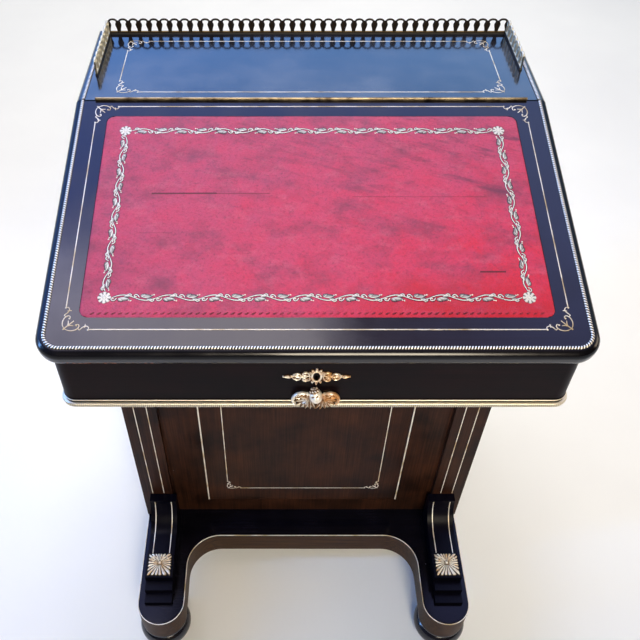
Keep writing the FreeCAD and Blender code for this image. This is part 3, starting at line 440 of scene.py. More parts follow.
def corner_ornament(board, corner, turn_u, turn_v, scale=1.0, wide=1.15):
    """Scrolled corner of a stringing frame, drawn for one arm and mirrored over the diagonal for the other:
    a great C scroll from the tip, a zigzag, a hooked curl at the line's end and a three-leaved sprig inside."""
    scroll = [(1.2, 1.0), (4.6, -0.9), (8.6, -1.5), (12.6, -0.6), (15.4, 1.5), (16.4, 4.0), (15.0, 6.1),
              (13.2, 5.4)]
    zigzag = [(15.4, 1.5), (17.0, -0.6), (18.6, 0.8), (20.4, 2.6), (22.2, 3.7), (24.6, 3.9), (26.6, 2.2),
              (26.4, 0.0)]
    leaf = [(22.8, 6.4), (22.6, 4.2), (22.2, 2.0)]
    sprig = [(10.6, 4.4), (7.4, 4.8), (4.2, 4.2)]
    stem = [(10.4, 10.4), (7.0, 7.0), (4.0, 4.0), (0.4, 0.4)]
    laid = lambda points: points * scale * [turn_u, turn_v] + corner
    patches, dots = [], []
    for order in (1, -1):
        for line in (scroll, zigzag, leaf, sprig):
            path = laid(flowing(np.array(line)[:, ::order]))
            ends = np.sin(np.linspace(0.15, np.pi - 0.15, len(path))) ** 0.35
            patches.append((inlay(board, path, wide * ends), 1.0))
        dots += [((13.2, 5.2)[::order], 1.15), ((26.2, -0.2)[::order], 1.1)]
    path = laid(flowing(stem))
    patches.append((inlay(board, path, wide * np.linspace(0.9, 1.3, len(path))), 1.0))
    dots.append(((0.3, 0.3), 1.0))
    places, sizes = (np.array(item) for item in zip(*dots))
    patches.append((studs(board, laid(places), sizes * (0.4 + 0.6 * scale)), 1.0))
    return patches


STRING_WIDTH, STRING_TOP, STRING_FOOT, ORNAMENT_REACH = 1.2, 623.0, 167.5, 27.0
PILASTER_FACE, TABLET_STEP = LID_Y + 152.5, 1.5
tablet_board = plane((0.0, PILASTER_FACE + TABLET_STEP, 0.0), ACROSS, UP)
FRAME_X, FRAME_Z, FRAME_CURL = 125.0, 182.0, 0.8
gap = ORNAMENT_REACH * FRAME_CURL
panel = [straight(tablet_board, (-FRAME_X + gap, FRAME_Z), (FRAME_X - gap, FRAME_Z), STRING_WIDTH)]
for sign in (-1, 1):
    side_x = sign * FRAME_X
    panel.append(straight(tablet_board, (side_x, STRING_TOP), (side_x, FRAME_Z + gap), STRING_WIDTH))
    panel += corner_ornament(tablet_board, (side_x, FRAME_Z), -sign, 1, FRAME_CURL)
lay_surface("tablet_stringing", panel, pedestal_stringing_painted_light, "carcass")

pilaster_board = plane((0.0, PILASTER_FACE, 0.0), ACROSS, UP)
lay_surface("pilaster_stringing", [
    straight(pilaster_board, (sign * x, STRING_TOP), (sign * x, STRING_FOOT), STRING_WIDTH)
    for sign in (-1, 1) for x in (234.0, 253.0)], pedestal_stringing_painted_light, "carcass")

SWEEP_RADIUS, SWEEP_Z, SCROLL_FACE = 41.0, 163.0, PILASTER_FACE - 13.5
SWEEP_Y, SWEEP_END, BLOCK_TOP = SCROLL_FACE - SWEEP_RADIUS, LID_Y + 65.5, 126.0
sweep, _ = even(np.concatenate([arc(SWEEP_Y, SWEEP_Z, SWEEP_RADIUS, -2.0, -90.0),
                                [[SWEEP_END, SWEEP_Z - SWEEP_RADIUS]]]), 3.0)
lay_surface("scroll_stringing", [
    (tube(np.column_stack([np.full(len(sweep), sign * x), sweep]), ACROSS, 0.35, 0.8, 6), 1.0)
    for sign in (-1, 1) for x in (221.5, 249.0)], pedestal_stringing_painted_light, "carcass")


# Leaf mounts on the scroll feet: cast and gilt brass squares, chased with leaves that spread from a boss.
# Each lies on its block and is held by hidden pins.


def worn_relief(tree, place, size, rough, swing):
    """Noise of a size in metres, and how worn a casting is: its relief, moved by that noise up to the swing."""
    height = grow(tree, "Attribute", attribute_name="relief").outputs["Fac"]
    noise = grow(tree, "TexNoise", place, Scale=1 / size, Detail=5.0, Roughness=rough)
    uneven = grow(tree, "MapRange", noise, To_Min=-swing, To_Max=swing)
    return noise, grow(tree, "Math", height, uneven, operation="ADD", use_clamp=True)


def chased_brass(name, crest, shade, hollow, rough=0.3, metal=0.9, gold=None, lean=0.0):
    """Cast brass, gilt and worn: bright on the crests, brown lacquer and dirt left in the hollows. With a gold,
    the crests turn to it in patches, and by the lean more so from left to right over the 40 mm about the
    middle: that lean is painted warm light from the right."""
    material, tree, place = new_material(name)
    _, worn = worn_relief(tree, place, size=0.012, rough=0.65, swing=0.28)
    colour = grow(tree, "ValToRGB", worn, stops=[(0.08, hollow), (0.42, shade), (0.8, crest)])
    if gold:
        aside = grow(tree, "SeparateXYZ", place)
        # painted warm light: the crests turn more to gold towards the right, as if lit warm from that side
        across = grow(tree, "MapRange", aside, From_Min=-0.02, From_Max=0.02, To_Min=-lean, To_Max=lean)
        patchy = grow(tree, "TexNoise", place, Scale=1 / 0.009, Detail=3.0)
        gold_patches_and_painted_warm_light = grow(tree, "Math", across, patchy, operation="ADD")
        gold_share_with_painted_light = grow(tree, "MapRange", gold_patches_and_painted_warm_light, From_Min=0.42, From_Max=0.78)
        both = grow(tree, "Math", gold_share_with_painted_light, worn, operation="MULTIPLY")
        colour = grow(tree, "Mix", both, colour, gold, data_type="RGBA")
    shine = grow(tree, "MapRange", worn, From_Min=0.05, From_Max=0.5, To_Min=0.2, To_Max=metal)
    dull = grow(tree, "MapRange", worn, To_Min=rough + 0.3, To_Max=rough)
    pits = grow(tree, "TexNoise", place, Scale=1 / 0.0015, Detail=3.0)
    return surfaced(material, pits, strength=0.25, depth=0.0003, Base_Color=colour, Metallic=shine,
                    Roughness=dull)


def curl(board, points, wide, proud):
    """A cast scroll: a round wire along a smooth line, thinner at both ends."""
    flat = flowing(points, 26)
    path = board(flat, np.full(len(flat), proud * 0.35))
    taper = 0.45 + 0.55 * np.sin(np.linspace(0.2, np.pi - 0.2, len(flat)))
    lift = board(flat[:1], np.array([1.0]))[0] - board(flat[:1], np.array([0.0]))[0]
    return tube(path, lift, wide / 2 * taper, proud * 0.65 * taper), 0.9


def leaf_square(board, spot, half, rays, proud):
    """A square of leaves that spread from a pole a little above its middle. Round the pole the rim is the
    square's side; leaves are the rounded cosine of the angle, bent outwards, and each dies into the plate at
    both ends."""
    pole = 3.5
    out = np.concatenate([np.linspace(0.0, 1.0, 14), [1.0, 0.0]])[:, None]
    angle = turns(rays * 12)
    sine = np.sin(angle)
    to_side = half / np.maximum(np.abs(np.cos(angle)), 1e-6)
    to_end = np.where(sine > 0, half - pole, half + pole) / np.maximum(np.abs(sine), 1e-6)
    turn = angle * rays / 2 + 0.55 * np.sin(3 * angle) + 0.5 * out * np.sin(2 * angle)
    crest = np.abs(np.cos(turn)) ** 0.7
    boss = np.sqrt(np.clip(1 - (out / 0.16) ** 2, 0, 1))
    leaf = crest * np.clip(out / 0.3, 0, 1) * np.clip((1.02 - out) / 0.12, 0, 1) ** 0.5
    height = proud * np.maximum(0.15 + 0.85 * leaf, boss)
    height[-2:] = -0.15
    rim = np.minimum(to_side, to_end) * (0.9 + 0.1 * crest[0])
    relief = np.maximum(np.clip((leaf - 0.42) / 0.3, 0, 1), boss)
    return board(np.asarray(spot, float) + [0.0, pole] + polar(out, angle) * rim[:, None], height), relief


SCROLL_X, MOUNT_Y, MOUNT_HALF = 235.0, LID_Y + 44.0, 19.0
block_board = plane((0.0, 0.0, BLOCK_TOP), ACROSS, (0, 1, 0))
leaf_brass = chased_brass("gilt_leaf_brass", "#f3eee0", "#7d6336", "#060302", rough=0.35, metal=0.3,
                          gold="#d29a3e")
swirl = np.array([(2.0, 6.0), (6.0, 11.5), (11.5, 12.5), (14.0, 8.5), (11.0, 6.0), (9.0, 8.5)])
leafy = []
for sign in (-1, 1):
    middle = np.array([sign * SCROLL_X, MOUNT_Y])
    leafy.append(leaf_square(block_board, middle, MOUNT_HALF, rays=22, proud=3.0))
    leafy += [curl(block_board, middle + swirl * [side, 1.0], wide=1.9, proud=4.6) for side in (-1, 1)]
lay_surface("leaf_mount_castings", leafy, leaf_brass, "carcass", ["leaf_mounts"])


# Brass edge strips of the tablet, the long hinge and the lock's plain fittings: drawn and cast brass, filed smooth.
# The strips cover the tablet's long edges; the hinge joins the lid to the shelf; the lock is let into the box front
# with its strike in the lid.


def plain_brass(name, bright, dark):
    """Old lacquered brass: warm yellow, clouded brown by handling, with fine wiping scratches."""
    material, tree, place = new_material(name)
    handling = grow(tree, "TexNoise", place, Scale=1 / 0.02, Detail=6.0, Roughness=0.7)
    colour = grow(tree, "ValToRGB", handling, stops=[(0.34, dark), (0.56, bright)])
    # wiping scratches 0.6 mm apart and 25 mm long, along the desk's width
    scratches = grained(tree, place, 0, wide=0.0006, long=0.025, detail=3.0, rough=0.5)
    rough = grow(tree, "MapRange", handling, To_Min=0.48, To_Max=0.22)
    return surfaced(material, scratches, strength=0.15, depth=0.0002, Base_Color=colour, Metallic=0.92,
                    Roughness=rough)


old_brass = plain_brass("old_lacquered_brass", "#e2c583", "#8a6230")
hinge_brass = plain_brass("worn_hinge_brass", "#95866a", "#2e1d11")
finish(old_brass, "lock_case", "lock_bolt", "strike_plate")
finish(pedestal_stringing_painted_light, "tablet_strips")
finish(hinge_brass, "hinge_shelf_leaf", "hinge_lid_leaf", "hinge_pin")


# Drawers, dust boards and the fitment in the well: plain mahogany, planed and left unpolished inside.
# The four drawers on the right have black fronts and bare sides; the two small ones slide under the shelf.


def mahogany(name, grain, light, dark):
    """Bare planed mahogany: reddish brown, with straight darker streaks along the grain and a dry sheen."""
    material, tree, place = new_material(name)
    # streaks 3 mm wide and 150 mm long
    pores = grained(tree, place, grain, wide=0.003, long=0.15, detail=6.0, rough=0.7)
    clouds = grow(tree, "TexNoise", place, Scale=1 / 0.08, Detail=3.0)
    blend = grow(tree, "Mix", 0.35, pores, clouds)
    colour = grow(tree, "ValToRGB", blend, stops=[(0.34, dark), (0.62, light)])
    return surfaced(material, pores, strength=0.25, depth=0.0004, Base_Color=colour, Roughness=0.55,
                    Specular_IOR_Level=0.35)


drawer_ebony = ebonised("ebonised_drawer_front", 1, "#150c0b", "#372119", gloss=0.34, shine=0.1,
                        bare=behind(axis=0, limit=0.2725))
finish(drawer_ebony, *[f"drawer_{number}" for number in range(1, 5)])
finish(mahogany("planed_mahogany", 0, "#8f5531", "#5a2d19"), "pedestal_bottom", "dust_board_1", "dust_board_2",
       "dust_board_3", "fitment_shelf", "drawer_divider", "pigeonhole_divider")
finish(mahogany("small_drawer_mahogany", 0, "#9c6236", "#6a371e"), "small_drawer_left", "small_drawer_right")
finish(turned_ebony, "small_knob_left", "small_knob_right")


# Desk box: a shallow black well on a rounded bottom board, dovetailed, polished outside and bare on the inside.
# A gilt reed and a gadrooned brass moulding run round the bottom board's sides and front.


def within_box(half_width, front, back):
    """Marks the wood inside the well: nearer the middle than the side boards, and between front and back."""
    def bare(tree, place):
        spots = grow(tree, "SeparateXYZ", place)
        narrow = grow(tree, "Math", spots.outputs[0], 0.0, half_width, operation="COMPARE")
        middle, reach = (front + back) / 2, (back - front) / 2
        between = grow(tree, "Math", spots.outputs[1], middle, reach, operation="COMPARE")
        return grow(tree, "Math", narrow, between, operation="MULTIPLY")
    return bare


box_ebony = ebonised("ebonised_desk_box", 0, "#0a070a", "#180d10", gloss=0.34, shine=0.08, bare=within_box(
    half_width=0.2677, front=LID_Y / 1000 + 0.016, back=LID_Y / 1000 + 0.4965))
finish(box_ebony, "well_bottom", "well_front", "well_back", "well_left", "well_right")


def notched(path, section, pitch):
    """A moulding carried level along a line. Each point of its section is (out, up, cut): the length run over
    the pitch draws the point in, by its cut, between rounded teeth."""
    line, run = even(path, pitch / 6)
    outward = np.cross(UP, heading(line))
    out, up, cut = np.array(section).T
    tooth = np.abs(np.cos(np.pi * run / pitch))[:, None] ** 0.5
    depth = out * (1.0 - cut * (1.0 - tooth))
    grid = line[:, None] + outward[:, None] * depth[..., None] + up[:, None] * UP
    relief = 1.0 - np.clip(cut * 2.2, 0, 1) * np.clip((0.75 - tooth) / 0.3, 0, 1)
    return capped(grid), np.concatenate([relief[:1], relief, relief[-1:]])


BASE_X, BASE_BACK, BASE_CORNER = 281.5, LID_Y + 510.0, 15.5
BAND_Z, REED_Z, GADROON_PITCH = 628.9, 635.6, 2.3
base_plan = both_halves([[BASE_X, BASE_BACK]],
                        arc(BASE_X - BASE_CORNER, LID_Y + BASE_CORNER, BASE_CORNER, 0.0, -90.0))
band_section = [(0.0, 2.9, 0.0), (1.4, 2.8, 0.0), (2.4, 2.3, 0.04), (3.0, 1.3, 0.25), (3.4, 0.0, 0.5),
                (3.3, -1.3, 0.55), (2.6, -2.8, 0.55), (1.5, -3.7, 0.5), (0.0, -3.8, 0.0)]
reed_line, _ = even(level_at(base_plan, REED_Z), 4.0)
gadroon_brass = chased_brass("gadrooned_brass", "#e4dcc8", "#b9a27a", "#140d08", rough=0.45)
lay_surface("gadroon_moulding", [notched(level_at(base_plan, BAND_Z), band_section, GADROON_PITCH),
                                 (tube(reed_line, UP, wide=0.9, high=0.8), 0.8)],
            gadroon_brass, "carcass", ["gadroon_band"])


# Key plate on the box front: a cast brass ring round the keyhole, between two tapering arms of leaves and
# scrolls. It is pierced and chased, and held by two small pins.


def hoop(board, spot, radii, wide, proud):
    """An oval moulded ring lying on a board: a half-round section carried round an ellipse."""
    angle, section = turns(44)[:, None], np.linspace(0.0, np.pi, 7)
    swell = wide / 2 * np.cos(section)[None, :]
    flat = np.stack([np.cos(angle) * (radii[0] + swell), np.sin(angle) * (radii[1] + swell)], axis=-1)
    height = np.broadcast_to(proud * np.sin(section) - 0.1, flat.shape[:2])
    return board(np.asarray(spot, float) + flat, height), np.sin(section) ** 0.7, True, True


def leaves(board, spots, angles, lengths, widths, proud, bend=0.0, under=0.2, painted_shade_halves=(1.0, 1.0)):
    """Cast leaves lying on a board. Along each leaf the width is the sine of the way along; across it two lobes
    rise beside a sunk vein; the midrib leaves its first direction by bend times the way along squared. The rim
    goes under the board, and painted_shade_halves dims each side of the vein by a share, as painted shade."""
    spots = np.asarray(spots, float)
    spread = lambda item: np.broadcast_to(np.asarray(item, float), len(spots))[:, None, None]
    angles, lengths, widths, proud, bend = (spread(item) for item in (angles, lengths, widths, proud, bend))
    along = np.linspace(0.0, 1.0, 9)[:, None]
    across = np.array([-1.0, -1.0, -0.5, 0.0, 0.5, 1.0, 1.0])
    crown = np.array([-0.2, 0.3, 1.0, 0.35, 1.0, 0.3, -0.2])
    shape = np.sin(np.pi * along ** 0.85)
    forward = along * lengths + 0 * across
    sideways = across * shape * widths / 2 + bend * lengths * along ** 2
    cosine, sine = np.cos(angles), np.sin(angles)
    flat = np.stack([forward * cosine - sideways * sine, forward * sine + sideways * cosine], axis=-1)
    swell = np.sqrt(np.maximum(shape, 0.0))
    height = proud * np.where(crown > 0, crown * swell, 0.0) - np.where(crown > 0, 0.0, under)
    # one side of the vein is dimmed by its share: painted shade
    bright = np.where(across < 0, painted_shade_halves[0], painted_shade_halves[1])
    relief = np.broadcast_to(np.clip(crown * swell, 0, 1) * bright, height.shape)
    return board(spots[:, None, None, :] + flat, height), relief


def facing(sign, degrees):
    """Directions in radians: as they are on the right-hand side, and mirrored over the upright on the left."""
    return np.radians(degrees) if sign > 0 else np.pi - np.radians(degrees)


BOX_FACE, KEY_Z, ARM_SHARE = LID_Y + 0.5, 678.0, 0.87
box_board = plane((0.0, BOX_FACE, 0.0), ACROSS, UP)
# its lean paints warm light on the right-hand side
gilt_brass = chased_brass("gilt_cast_brass", "#fefaf0", "#845426", "#0a0402", rough=0.3, metal=0.55,
                          gold="#d8a052", lean=0.12)
key_spot = np.array([0.0, KEY_Z])
key_plate = [hoop(box_board, key_spot, radii=(4.9, 8.3), wide=2.6, proud=1.9)]
for up, fan, lengths in ((1, [90.0, 62.0, 118.0, 38.0, 142.0], [7.0, 6.4, 6.4, 5.4, 5.4]),
                         (-1, [90.0, 58.0, 122.0], [5.4, 5.0, 5.0])):
    fan = np.radians(fan)
    places = key_spot + np.column_stack([5.6 * np.cos(fan), up * 7.6 * np.sin(fan)])
    key_plate.append(leaves(box_board, places, up * fan, lengths, widths=3.6, proud=2.0))
    knops = np.array([(4.4, 10.0), (-4.4, 10.0), (0.0, 12.6)]) * [1.0, up]
    key_plate.append((studs(box_board, key_spot + knops, radius=1.3, proud=2.2), 1.0))
steps = np.array([(7.4, 1.2), (9.6, 1.4), (13.4, 1.0), (20.4, 0.8), (24.4, 0.6), (31.6, 0.4)])
step_turns = np.array([78.0, 50.0, 62.0, 66.0, 40.0, 34.0])
inner_swirl = np.array([(8.2, 1.0), (10.0, 5.4), (13.6, 7.0), (16.6, 5.4), (16.2, 2.8), (14.0, 2.6),
                        (13.8, 4.2)])
outer_swirl = np.array([(18.6, 0.4), (20.6, 3.8), (24.2, 4.9), (28.0, 3.6), (30.4, 0.6)])
stem = np.array([(7.6, 0.0), (11.0, 1.2), (14.5, -1.2), (18.0, 0.8), (22.0, -0.9), (26.0, 0.8), (30.5, 0.0)])
beads = np.array([(18.0, 0.0), (31.0, 0.0), (41.2, 0.0), (24.2, 0.0)])
for sign in (-1, 1):
    mirror = np.array([ARM_SHARE * sign, 1.0])
    for up in (-1, 1):
        laid = lambda points: key_spot + points * [1.0, up] * mirror
        # one half of each step leaf painted in shade
        key_plate.append(leaves(box_board, laid(steps), facing(sign, up * step_turns),
                                [8.2, 8.6, 6.8, 5.6, 5.4, 4.0], [4.2, 4.0, 4.0, 3.6, 3.2, 2.4], 1.9,
                                sign * up * -0.3, painted_shade_halves=(0.3, 0.9)))
        key_plate.append(curl(box_board, laid(inner_swirl), wide=1.8, proud=2.4))
        key_plate.append(curl(box_board, laid(outer_swirl), wide=1.6, proud=2.1))
    key_plate.append(curl(box_board, key_spot + stem * mirror, wide=1.9, proud=2.0))
    key_plate.append((studs(box_board, key_spot + beads * mirror, [1.7, 1.6, 0.9, 2.2], 2.4), 1.0))
    key_plate.append(leaves(box_board, np.repeat([key_spot + np.array([31.2, 0.0]) * mirror], 3, axis=0),
                            facing(sign, np.array([0.0, 20.0, -20.0])), [9.4, 6.0, 6.0], [4.0, 2.8, 2.8], 2.0))
lay_surface("key_plate_casting", key_plate, gilt_brass, "carcass", ["escutcheon"])


# Winged head under the key plate: a gilt brass casting of a child's head between two folded wings.
# It is pinned to the box front, and the tips of its feathers hang over the gadrooned moulding.


def head_casting(centre, size):
    """A calm, plain head as a closed ball of latitude and longitude: the radius swells at the brow, cheeks, chin
    and nose and sinks at the eyes and under the lip, each a bell curve of the angles; curls ripple the crown. The
    ball is then tipped back and to the left, so that the face looks up at the writer."""
    rise = np.linspace(-np.pi / 2, np.pi / 2, 40)[:, None]
    round_angle = turns(56) - np.pi
    bell = lambda at_turn, at_rise, spread, tall: np.exp(
        -((round_angle - at_turn) / spread) ** 2 - ((rise - at_rise) / tall) ** 2)
    both = lambda at_turn, *rest: bell(at_turn, *rest) + bell(-at_turn, *rest)
    radius = (1.0 + 0.16 * bell(0.0, -0.08, 0.16, 0.20) + 0.05 * both(0.35, 0.32, 0.30, 0.10)
              - 0.13 * both(0.36, 0.12, 0.20, 0.10) + 0.07 * both(0.55, -0.28, 0.30, 0.26)
              + 0.06 * bell(0.0, -0.42, 0.22, 0.05) - 0.05 * bell(0.0, -0.54, 0.20, 0.05)
              + 0.09 * bell(0.0, -0.78, 0.30, 0.16))
    crown = np.clip((rise - 0.45 + 0.5 * (1 - np.cos(round_angle)) * -0.6) / 0.2, 0, 1)
    locks = np.abs(np.sin(6 * round_angle + 4 * rise)) * np.abs(np.cos(8 * rise))
    radius = radius + crown * (0.04 + 0.20 * locks)
    ball = np.stack([np.cos(rise) * np.sin(round_angle), -np.cos(rise) * np.cos(round_angle),
                     np.sin(rise) + 0 * round_angle], axis=-1)
    relief = np.where(crown > 0.3, 0.1 + 0.9 * locks, np.clip((radius - 0.88) / 0.16, 0.1, 1))
    lean, roll = math.radians(34.0), math.radians(16.0)
    cosine, sine = math.cos(lean), math.sin(lean)
    back = np.array([[1.0, 0.0, 0.0], [0.0, cosine, -sine], [0.0, sine, cosine]])
    cosine, sine = math.cos(roll), math.sin(roll)
    left = np.array([[cosine, 0.0, sine], [0.0, 1.0, 0.0], [-sine, 0.0, cosine]])
    return np.asarray(centre) + (ball * radius[..., None] * size) @ back @ left, relief


MOUNT_Z, WING_RAISE = 647.0, 4.2
wing_board = plane((0.0, BOX_FACE - WING_RAISE, 0.0), ACROSS, UP)
winged = [head_casting((0.0, BOX_FACE - 7.0, MOUNT_Z + 4.6), np.array([7.4, 6.8, 8.4]))]
# three rows of feathers, from the longest: root, width, height, and the direction and length of each feather
feathers = (
    ((6.6, -1.0), 5.6, 2.4, np.array([46.0, 26.0, 8.0, -12.0, -32.0, -52.0, -70.0, -86.0, -101.0]),
     [11.5, 16.5, 18.8, 19.2, 20.0, 21.0, 21.8, 22.4, 22.8]),
    ((7.0, -0.4), 5.0, 4.2, np.array([52.0, 24.0, -4.0, -32.0, -60.0, -88.0]),
     [8.5, 12.2, 13.2, 13.8, 14.2, 14.6]),
    ((7.4, 0.4), 4.4, 5.6, np.array([36.0, -8.0, -52.0]), [7.0, 8.0, 8.4]))
wing_rim = np.array([(6.0, 3.8), (10.5, 7.4), (16.5, 8.4), (22.4, 5.2), (25.6, -1.0), (25.4, -7.0),
                     (23.6, -11.0)])
for sign in (-1, 1):
    for root, wide, proud, fan, lengths in feathers:
        places = np.repeat([[sign * root[0], MOUNT_Z + root[1]]], len(fan), axis=0)
        # one half of each feather painted a little darker, as painted shade
        winged.append(leaves(wing_board, places, facing(sign, fan), lengths, wide, proud, bend=sign * -0.14,
                             under=WING_RAISE, painted_shade_halves=(0.6, 1.0)))
    # the broad plate under the feathers is dimmed on both halves, as painted shade beneath them
    winged.append(leaves(wing_board, [[sign * 3.0, MOUNT_Z + 1.0]], facing(sign, -22.0), lengths=22.5,
                         widths=21.0, proud=1.5, under=WING_RAISE, painted_shade_halves=(0.3, 0.3)))
    rim = flowing(np.array([0.0, MOUNT_Z]) + wing_rim * [sign, 1.0], 19)
    winged.append(curl(wing_board, rim[::3], wide=2.4, proud=3.6))
    winged.append((studs(wing_board, rim[1::2] + [-1.2 * sign, -0.9], radius=1.5, proud=4.4), 0.9))
# its lean paints warm light on the right-hand side, stronger than on the key plate
wing_brass = chased_brass("gilt_wing_brass", "#f8f4ea", "#7c5830", "#0c0503", rough=0.32, metal=0.5,
                          gold="#d89440", lean=0.22)
lay_surface("winged_head_casting", winged, wing_brass, "carcass", ["winged_mount"])


# Top shelf: a broad black board, French polished to a mirror, screwed down over the back of the well.
# A brass stringing frame with scrolled corners is let into it, and a twisted gilt bead runs along both sides.

# the polished top: both tones are blue-black, a painted reflection of blue sky in the polish
top_ebony_painted_sky = ebonised("ebonised_top_painted_sky", 0, "#0b0d16", "#1d2233", gloss=0.14, shine=0.6, coat=0.7)
finish(top_ebony_painted_sky, "top_shelf")

HINGE_Y, HINGE_Z = LID_Y + 338.517, 803.5
shelf_board = plane((0.0, 0.0, HINGE_Z), ACROSS, (0, 1, 0))


def string_frame(board, half_width, low, high, wide=1.15):
    """A frame of four straight strips on a board, each stopping short of the scrolled ornaments at its ends."""
    patches, gap = [], ORNAMENT_REACH
    for v, up in ((low, 1), (high, -1)):
        patches.append(straight(board, (gap - half_width, v), (half_width - gap, v), wide))
        for sign in (-1, 1):
            patches += corner_ornament(board, (sign * half_width, v), -sign, up)
    for sign in (-1, 1):
        patches.append(straight(board, (sign * half_width, low + gap), (sign * half_width, high - gap), wide))
    return patches


# the same stringing brass in a darker tone for the well-lit slope and shelf: painted shade against the pedestal's
# copy
top_stringing = pale_brass("top_brass_stringing_darker_tone", "#cfc9ba", "#a38f68")
shelf_frame = string_frame(shelf_board, half_width=245.0, low=LID_Y + 358.0, high=LID_Y + 488.0)
lay_surface("shelf_stringing", shelf_frame, top_stringing, "carcass")


def rope(path, lift):
    """A twisted bead along a line: an arch whose size swells and sinks as the cosine of the length run over the
    pitch, shifted round the arch by the slant. The hollows between the strands are deep and hold polish."""
    wide, high, pitch, slant = 2.2, 1.9, 3.1, -0.7
    line, run = even(path, pitch / 8)
    side, rise = square_to(line, lift)
    angle = np.linspace(0.0, np.pi, 9)
    lobe = np.abs(np.cos(np.pi * (run[:, None] / pitch + slant * (angle / np.pi - 0.5))))
    swell = 0.5 + 0.5 * lobe ** 0.6
    grid = (line[:, None] + side * (wide * swell * np.cos(angle))[..., None]
            + rise * (high * swell * np.sin(angle))[..., None])
    relief = np.clip((lobe - 0.5) / 0.3, 0, 1) * np.clip(np.sin(angle) * 1.9 - 0.25, 0.0, 1.0)
    return capped(grid), np.concatenate([relief[:1], relief, relief[-1:]])


BEAD_X, BEAD_GAP, BEAD_LENGTH = 284.5, 1.3, 174.2
bead_brass = chased_brass("twisted_bead_brass", "#f2ecdc", "#5c4a28", "#030202", rough=0.4)
lay_surface("shelf_rope_bead", [
    rope(np.array([(sign * BEAD_X, HINGE_Y + BEAD_GAP, HINGE_Z),
                   (sign * BEAD_X, HINGE_Y + BEAD_GAP + BEAD_LENGTH, HINGE_Z)]), UP) for sign in (-1, 1)],
    bead_brass, "carcass", ["shelf_bead"])


# Gallery: a low pierced fence of cast brass round the back of the shelf, screwed through its rail.
# Each bay is a bell-shaped opening under a round arch; solid webs join it to its neighbours.


def repeated(grid, pitch, count):
    """Copies of a grid at every pitch along x."""
    return grid + (np.arange(count) * pitch)[:, None, None, None] * ACROSS


# half width of an opening and the height it stands at, from foot to shoulder, drawn for one pitch
LOOP_HALF, LOOP_RISE = (5.9, 5.8, 5.1, 4.2, 4.05, 4.9, 5.3), (4.0, 6.4, 9.4, 12.4, 14.4, 16.2, 18.0)
LOOP_PITCH = 14.2


def bay_loops(pitch, bays):
    """One run of bays along x from 0: a loop drawn from foot to foot as a flat strip, deep from front to back,
    and repeated at the pitch."""
    side = [*zip(LOOP_HALF, LOOP_RISE), (4.5, 19.9), (2.6, 21.0), (0.0, 21.4)]
    loop = np.array(side + [(-u, v) for u, v in side[-2::-1]])
    flat = flowing(loop, 44) * [pitch / LOOP_PITCH, 1.0]
    path = np.column_stack([flat[:, 0] + pitch / 2, np.zeros(len(flat)), flat[:, 1]])
    return repeated(tube(path, np.array([0.0, 1.0, 0.0]), 1.3, 1.55), pitch, bays)


def webs(pitch, bays):
    """The solid metal between neighbouring openings: a flat upright whose half width is what the two loops
    leave of the pitch, wide at the neck and narrow at the foot and the shoulder."""
    rise = np.linspace(3.6, 19.4, 12)
    half = pitch / 2 - np.interp(rise, [*LOOP_RISE, 19.9], np.array([*LOOP_HALF, 5.9]) * pitch / LOOP_PITCH)
    path = np.column_stack([np.zeros(12), np.zeros(12), rise])
    return repeated(tube(path, np.array([0.0, 1.0, 0.0]), half + 0.3, 0.9), pitch, bays + 1)


def rail(length):
    """The gallery's foot rail along x from 0: a plinth section with a cove and a round top, carried along."""
    front = np.array([(-1.9, 0.0), (-1.9, 1.2), (-1.5, 1.7), (-1.1, 2.4), (-1.3, 3.1), (-1.45, 3.7),
                      (-1.0, 4.4)])
    section = np.concatenate([front, [(0.0, 4.65)], front[::-1] * [-1.0, 1.0]])
    run = np.linspace(0.0, length, 24)
    return capped(np.stack(np.broadcast_arrays(run[:, None], section[:, 0], section[:, 1]), axis=-1))


def set_run(points, start, quarter):
    """Carry a run from the x axis to its place: turned a quarter to the left if asked, then moved."""
    turned = points @ np.array([[0.0, 1.0, 0.0], [-1.0, 0.0, 0.0], [0.0, 0.0, 1.0]]) if quarter else points
    return turned + np.asarray(start, float)


# one cast brass in two tones: the back run painted dark as painted shade, for a fence seen against the light; the
# returns painted pale as painted light
shaded_gallery_brass = chased_brass("gallery_brass_painted_shade", "#6f5b36", "#2c2112", "#080504", rough=0.36)
lit_return_brass = chased_brass("gallery_return_brass_painted_light", "#cdc8b4", "#6f674c", "#0d0a06", rough=0.36, metal=0.6)
# tone across the rail's section: painted highlight along its top, painted shade on its lower faces
RAIL_HIGHLIGHT_AND_SHADE = np.array([0.0, 0.0, 0.0, 0.1, 0.2, 0.5, 0.8, 0.85, 0.8, 0.5, 0.2, 0.1, 0.0, 0.0, 0.0])
SHELF_DEPTH, GALLERY_BACK, GALLERY_X, RETURN_PITCH = 185.5, 15.5, 276.3, 14.0
GALLERY_Y = HINGE_Y + SHELF_DEPTH - GALLERY_BACK
BACK_BAYS, LEFT_BAYS, RIGHT_BAYS = 39, 8, 7
